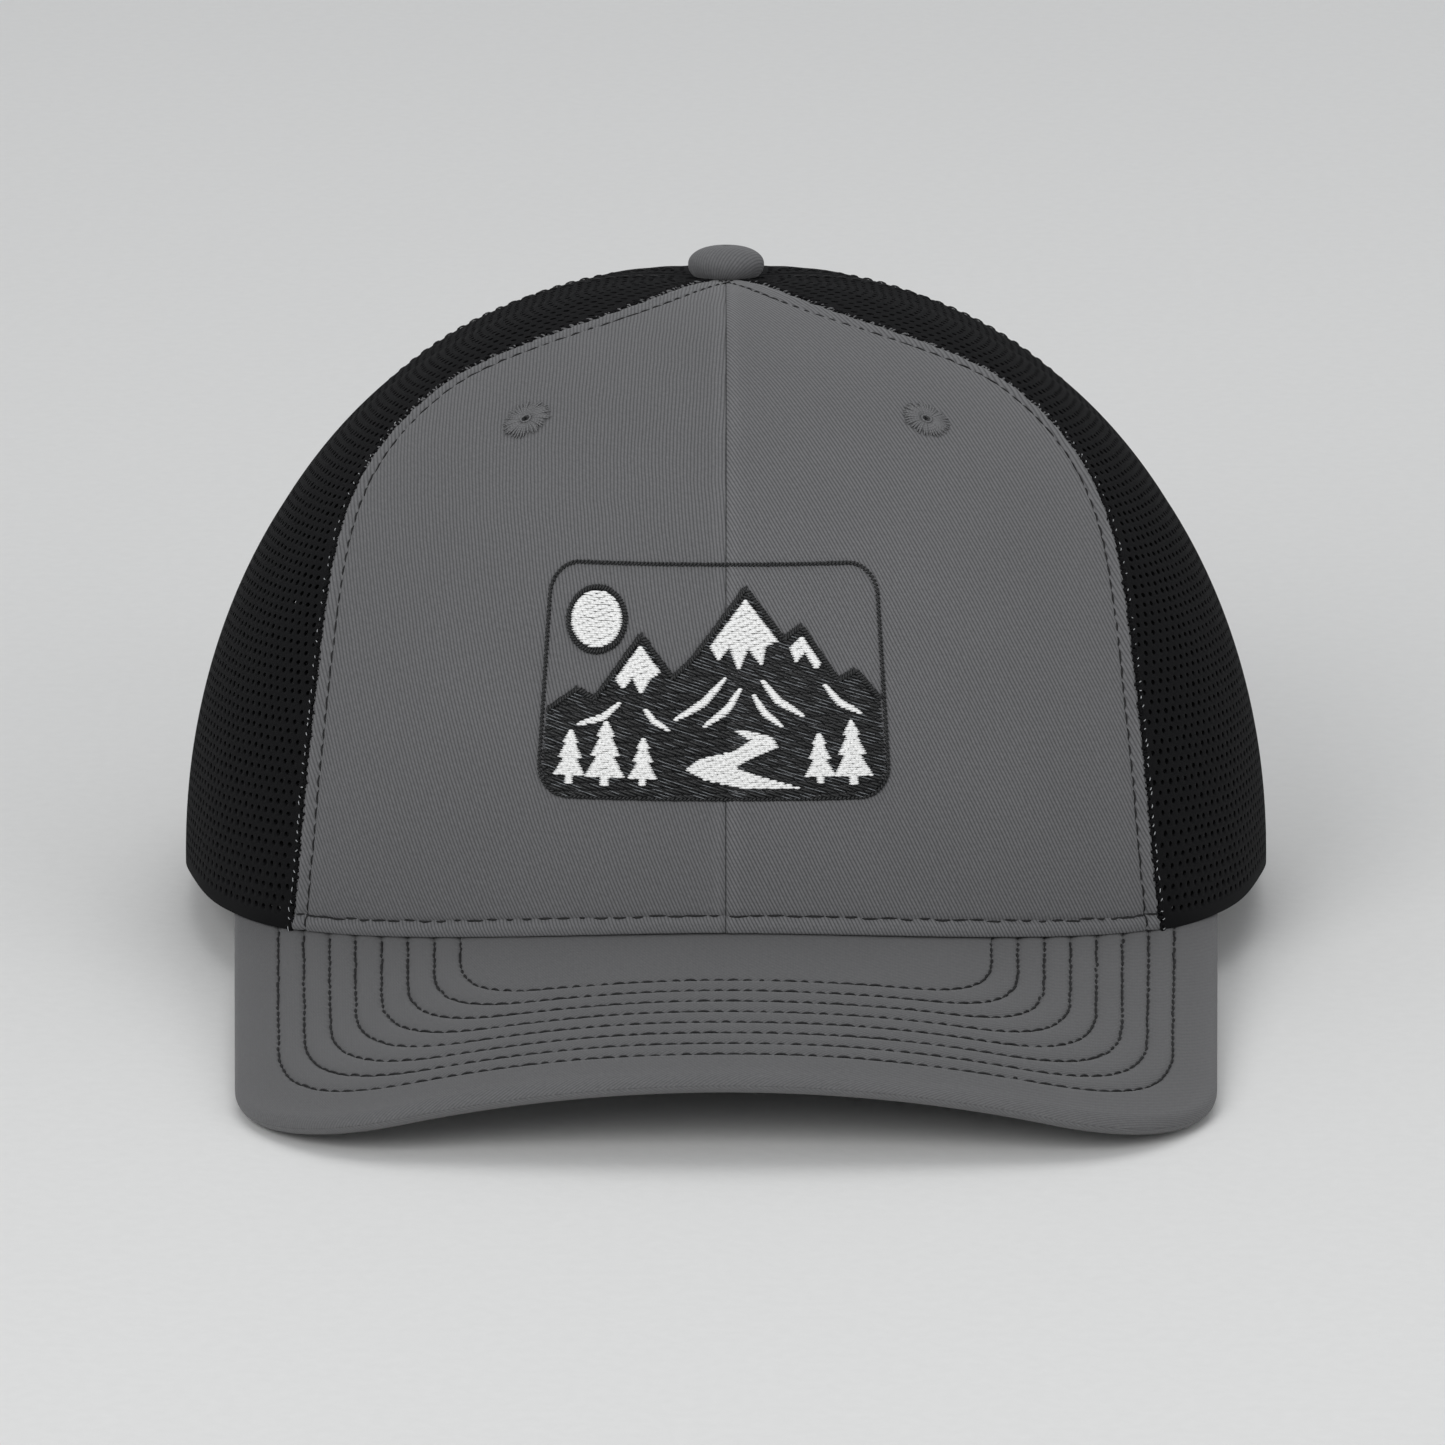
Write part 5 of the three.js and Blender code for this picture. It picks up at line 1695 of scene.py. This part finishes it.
def stud(side, lift, station):
    """A stud with a slightly wider rounded head, its foot sunk into the strap."""
    profile = np.array([
        (0, -0.35), (1.75, -0.35), (1.62, 0.15), (1.45, 0.5), (1.42, 0.9), (1.6, 1.2), (1.68, 1.4),
        (1.6, 1.62), (1.35, 1.76), (0.9, 1.8), (0, 1.8),
    ])
    sides = 28
    a = np.arange(sides + 1) * 2 * PI / sides
    depth = strap_depth(station, lift)
    here = strap_point(side * station, STRAP_MIDDLE, depth)
    along = unit(strap_point(side * station + 0.01, STRAP_MIDDLE, depth) - here)
    above = unit(strap_point(side * station, STRAP_MIDDLE + 0.01, depth) - here)
    out = unit(np.cross(along, above))
    above = np.cross(out, along)
    ring = profile[:, None, :1] * (np.cos(a)[:, None] * along + np.sin(a)[:, None] * above)
    points = here + ring + profile[:, None, 1:] * out
    return tidy(points.reshape(-1, 3), [grid_faces(len(profile), sides + 1)])[:2]


for side, word, lift in ((1, "holed", 0.0), (-1, "studded", 1.5)):
    parts = [strap_skin(side, lift, word == "holed")]
    if word == "studded":
        parts += [stud(side, lift, station) for station in STATIONS]
    points = np.concatenate([p for p, _ in parts])
    bases = np.cumsum([0] + [len(p) for p, _ in parts])
    faces = [f + base for (_, group), base in zip(parts, bases) for f in group]
    name = f"snap_strap_{word}"
    strap = make(name, points, faces, strap_plastic, body=None, slot="strap_plastic", sharp=50)
    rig.replaces(strap, f"strap_{word}", f"strap_{word}_tab")
    ends = [world(strap_point(side * s, STRAP_MIDDLE, 2.3)) for s in (HINGE + 4, HINGE - 5)]
    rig.blend(strap, "crown", f"{word}_strap", start=ends[0], end=ends[1])


# ---------------------------------------------------------------- button
BUTTON, DOME, SKIRT, HEM, BUTTON_LIFT = 6.5, 3.2, 2.0, (5.5, 0.05), 0.2


def button():
    a = np.linspace(PI / 2, 0, 22)
    profile = np.stack([BUTTON * np.cos(a).clip(0) ** 0.8, SKIRT + DOME * np.sin(a)], -1)
    skirt = curve(profile[-1], np.array([BUTTON, 0.9]), np.array(HEM), 12)
    profile = np.concatenate([profile, skirt])
    turn_by = np.linspace(0, 2 * PI, 129)
    low = smooth(3.5, 0.5, profile[:, 1])[:, None]
    tucks = 1 - 0.012 * low * (1 + np.cos(18 * turn_by + 0.6 * np.sin(3 * turn_by)))
    r = profile[:, :1] * tucks
    along = unit(np.gradient(profile, axis=0))
    outward = sideways(along)
    thin = 0.55  # the cloth's thickness

    def ring(r, z):
        z = z + 0 * r + HEIGHT - DIMPLE + BUTTON_LIFT
        return np.stack([r * np.cos(turn_by), r * np.sin(turn_by) + TOP_SHIFT, z], -1)

    outer = ring(r, profile[:, 1:])
    inner = ring((r - thin * outward[:, :1]).clip(0), profile[:, 1:] - thin * outward[:, 1:])
    run = arc(profile)[:, None]
    flat = np.stack([run * np.cos(turn_by), run * np.sin(turn_by)], -1)
    made = skin("button_cloth", outer, inner, flat, twill_button, slot="grey_twill")
    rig.replaces(made, "button_cover")


button()
SHOWN = {"bill_board": board_plastic, "button_shell": steel, "button_back_plate": steel}
for node, material in SHOWN.items():
    mesh = frame["nodes"][node].data
    mesh.materials.clear()
    mesh.materials.append(material)

# ---------------------------------------------------------------- floor, light and camera
def pale_floor():
    n = Nodes("pale_floor")
    place = n.add("ShaderNodeTexCoord").outputs["Object"]
    fine = n.noise(place, 400.0, 3)
    broad = n.noise(place, 1.5, 2)
    colour = n.tint((0.78, 0.78, 0.77), n.between(fine, 0.97, 1.03), n.between(broad, 0.97, 1.03))
    return n.finish(colour, fine, 0.0002, 0.3, 0.75)


FLOOR = 60  # half its side, so that its far edge doesn't show
corners = [(-FLOOR, -FLOOR, 0), (FLOOR, -FLOOR, 0), (FLOOR, FLOOR, 0), (-FLOOR, FLOOR, 0)]
floor_mesh = bpy.data.meshes.new("floor")
floor_mesh.from_pydata(corners, [], [(0, 1, 2, 3)])
floor_mesh.materials.append(pale_floor())
floor = bpy.data.objects.new("floor", floor_mesh)
bpy.context.scene.collection.objects.link(floor)
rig.stage(floor)

MIDDLE = Vector((0, 0, 0.05))


def area_light(name, place, size, watts, colour=(1, 1, 1)):
    data = bpy.data.lights.new(name, "AREA")
    data.shape = "DISK"
    data.size, data.energy, data.color = size, watts, colour
    lamp = bpy.data.objects.new(name, data)
    lamp.location = place
    lamp.rotation_euler = (MIDDLE - lamp.location).to_track_quat("-Z", "Y").to_euler()
    bpy.context.scene.collection.objects.link(lamp)


area_light("key", Vector((-0.9, -1.75, 1.15)), 1.2, 20.5)
area_light("fill", Vector((1.3, -1.4, 0.8)), 1.4, 8)
area_light("above", Vector((0.1, 0.5, 1.8)), 1.6, 9)
sky = bpy.data.worlds.new("studio")
sky.use_nodes = True
background = sky.node_tree.nodes["Background"]
background.inputs["Color"].default_value = (0.95, 0.97, 1.0, 1)
background.inputs["Strength"].default_value = 0.42
scene = bpy.context.scene
scene.world = sky
scene.view_settings.view_transform = "Standard"

VIEW_UP, VIEW_FAR, LENS = rad(14.645), 1.98, 290.2
SEEN_HIGH, AIM_LOW, AIM_ASIDE = 45.0, 0.027, -0.0006
seen = Vector(world(np.array([0.0, 0.0, SEEN_HIGH])))
back_off = Vector((0, -np.cos(VIEW_UP), np.sin(VIEW_UP)))
camera_up = Vector((0, np.sin(VIEW_UP), np.cos(VIEW_UP)))
camera_data = bpy.data.cameras.new("camera")
camera_data.sensor_width, camera_data.lens = 36.0, LENS
camera_data.clip_start, camera_data.clip_end = 0.05, 50
camera = bpy.data.objects.new("camera", camera_data)
camera.location = seen + back_off * VIEW_FAR
aim = seen - camera_up * AIM_LOW + Vector((AIM_ASIDE, 0, 0))
camera.rotation_euler = (aim - camera.location).to_track_quat("-Z", "Y").to_euler()
scene.collection.objects.link(camera)
scene.camera = camera

looks_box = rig.bounds()
with open("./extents.json", "w") as f:
    json.dump({"cad": [list(v) for v in cad_box], "visual": [list(v) for v in looks_box]}, f)
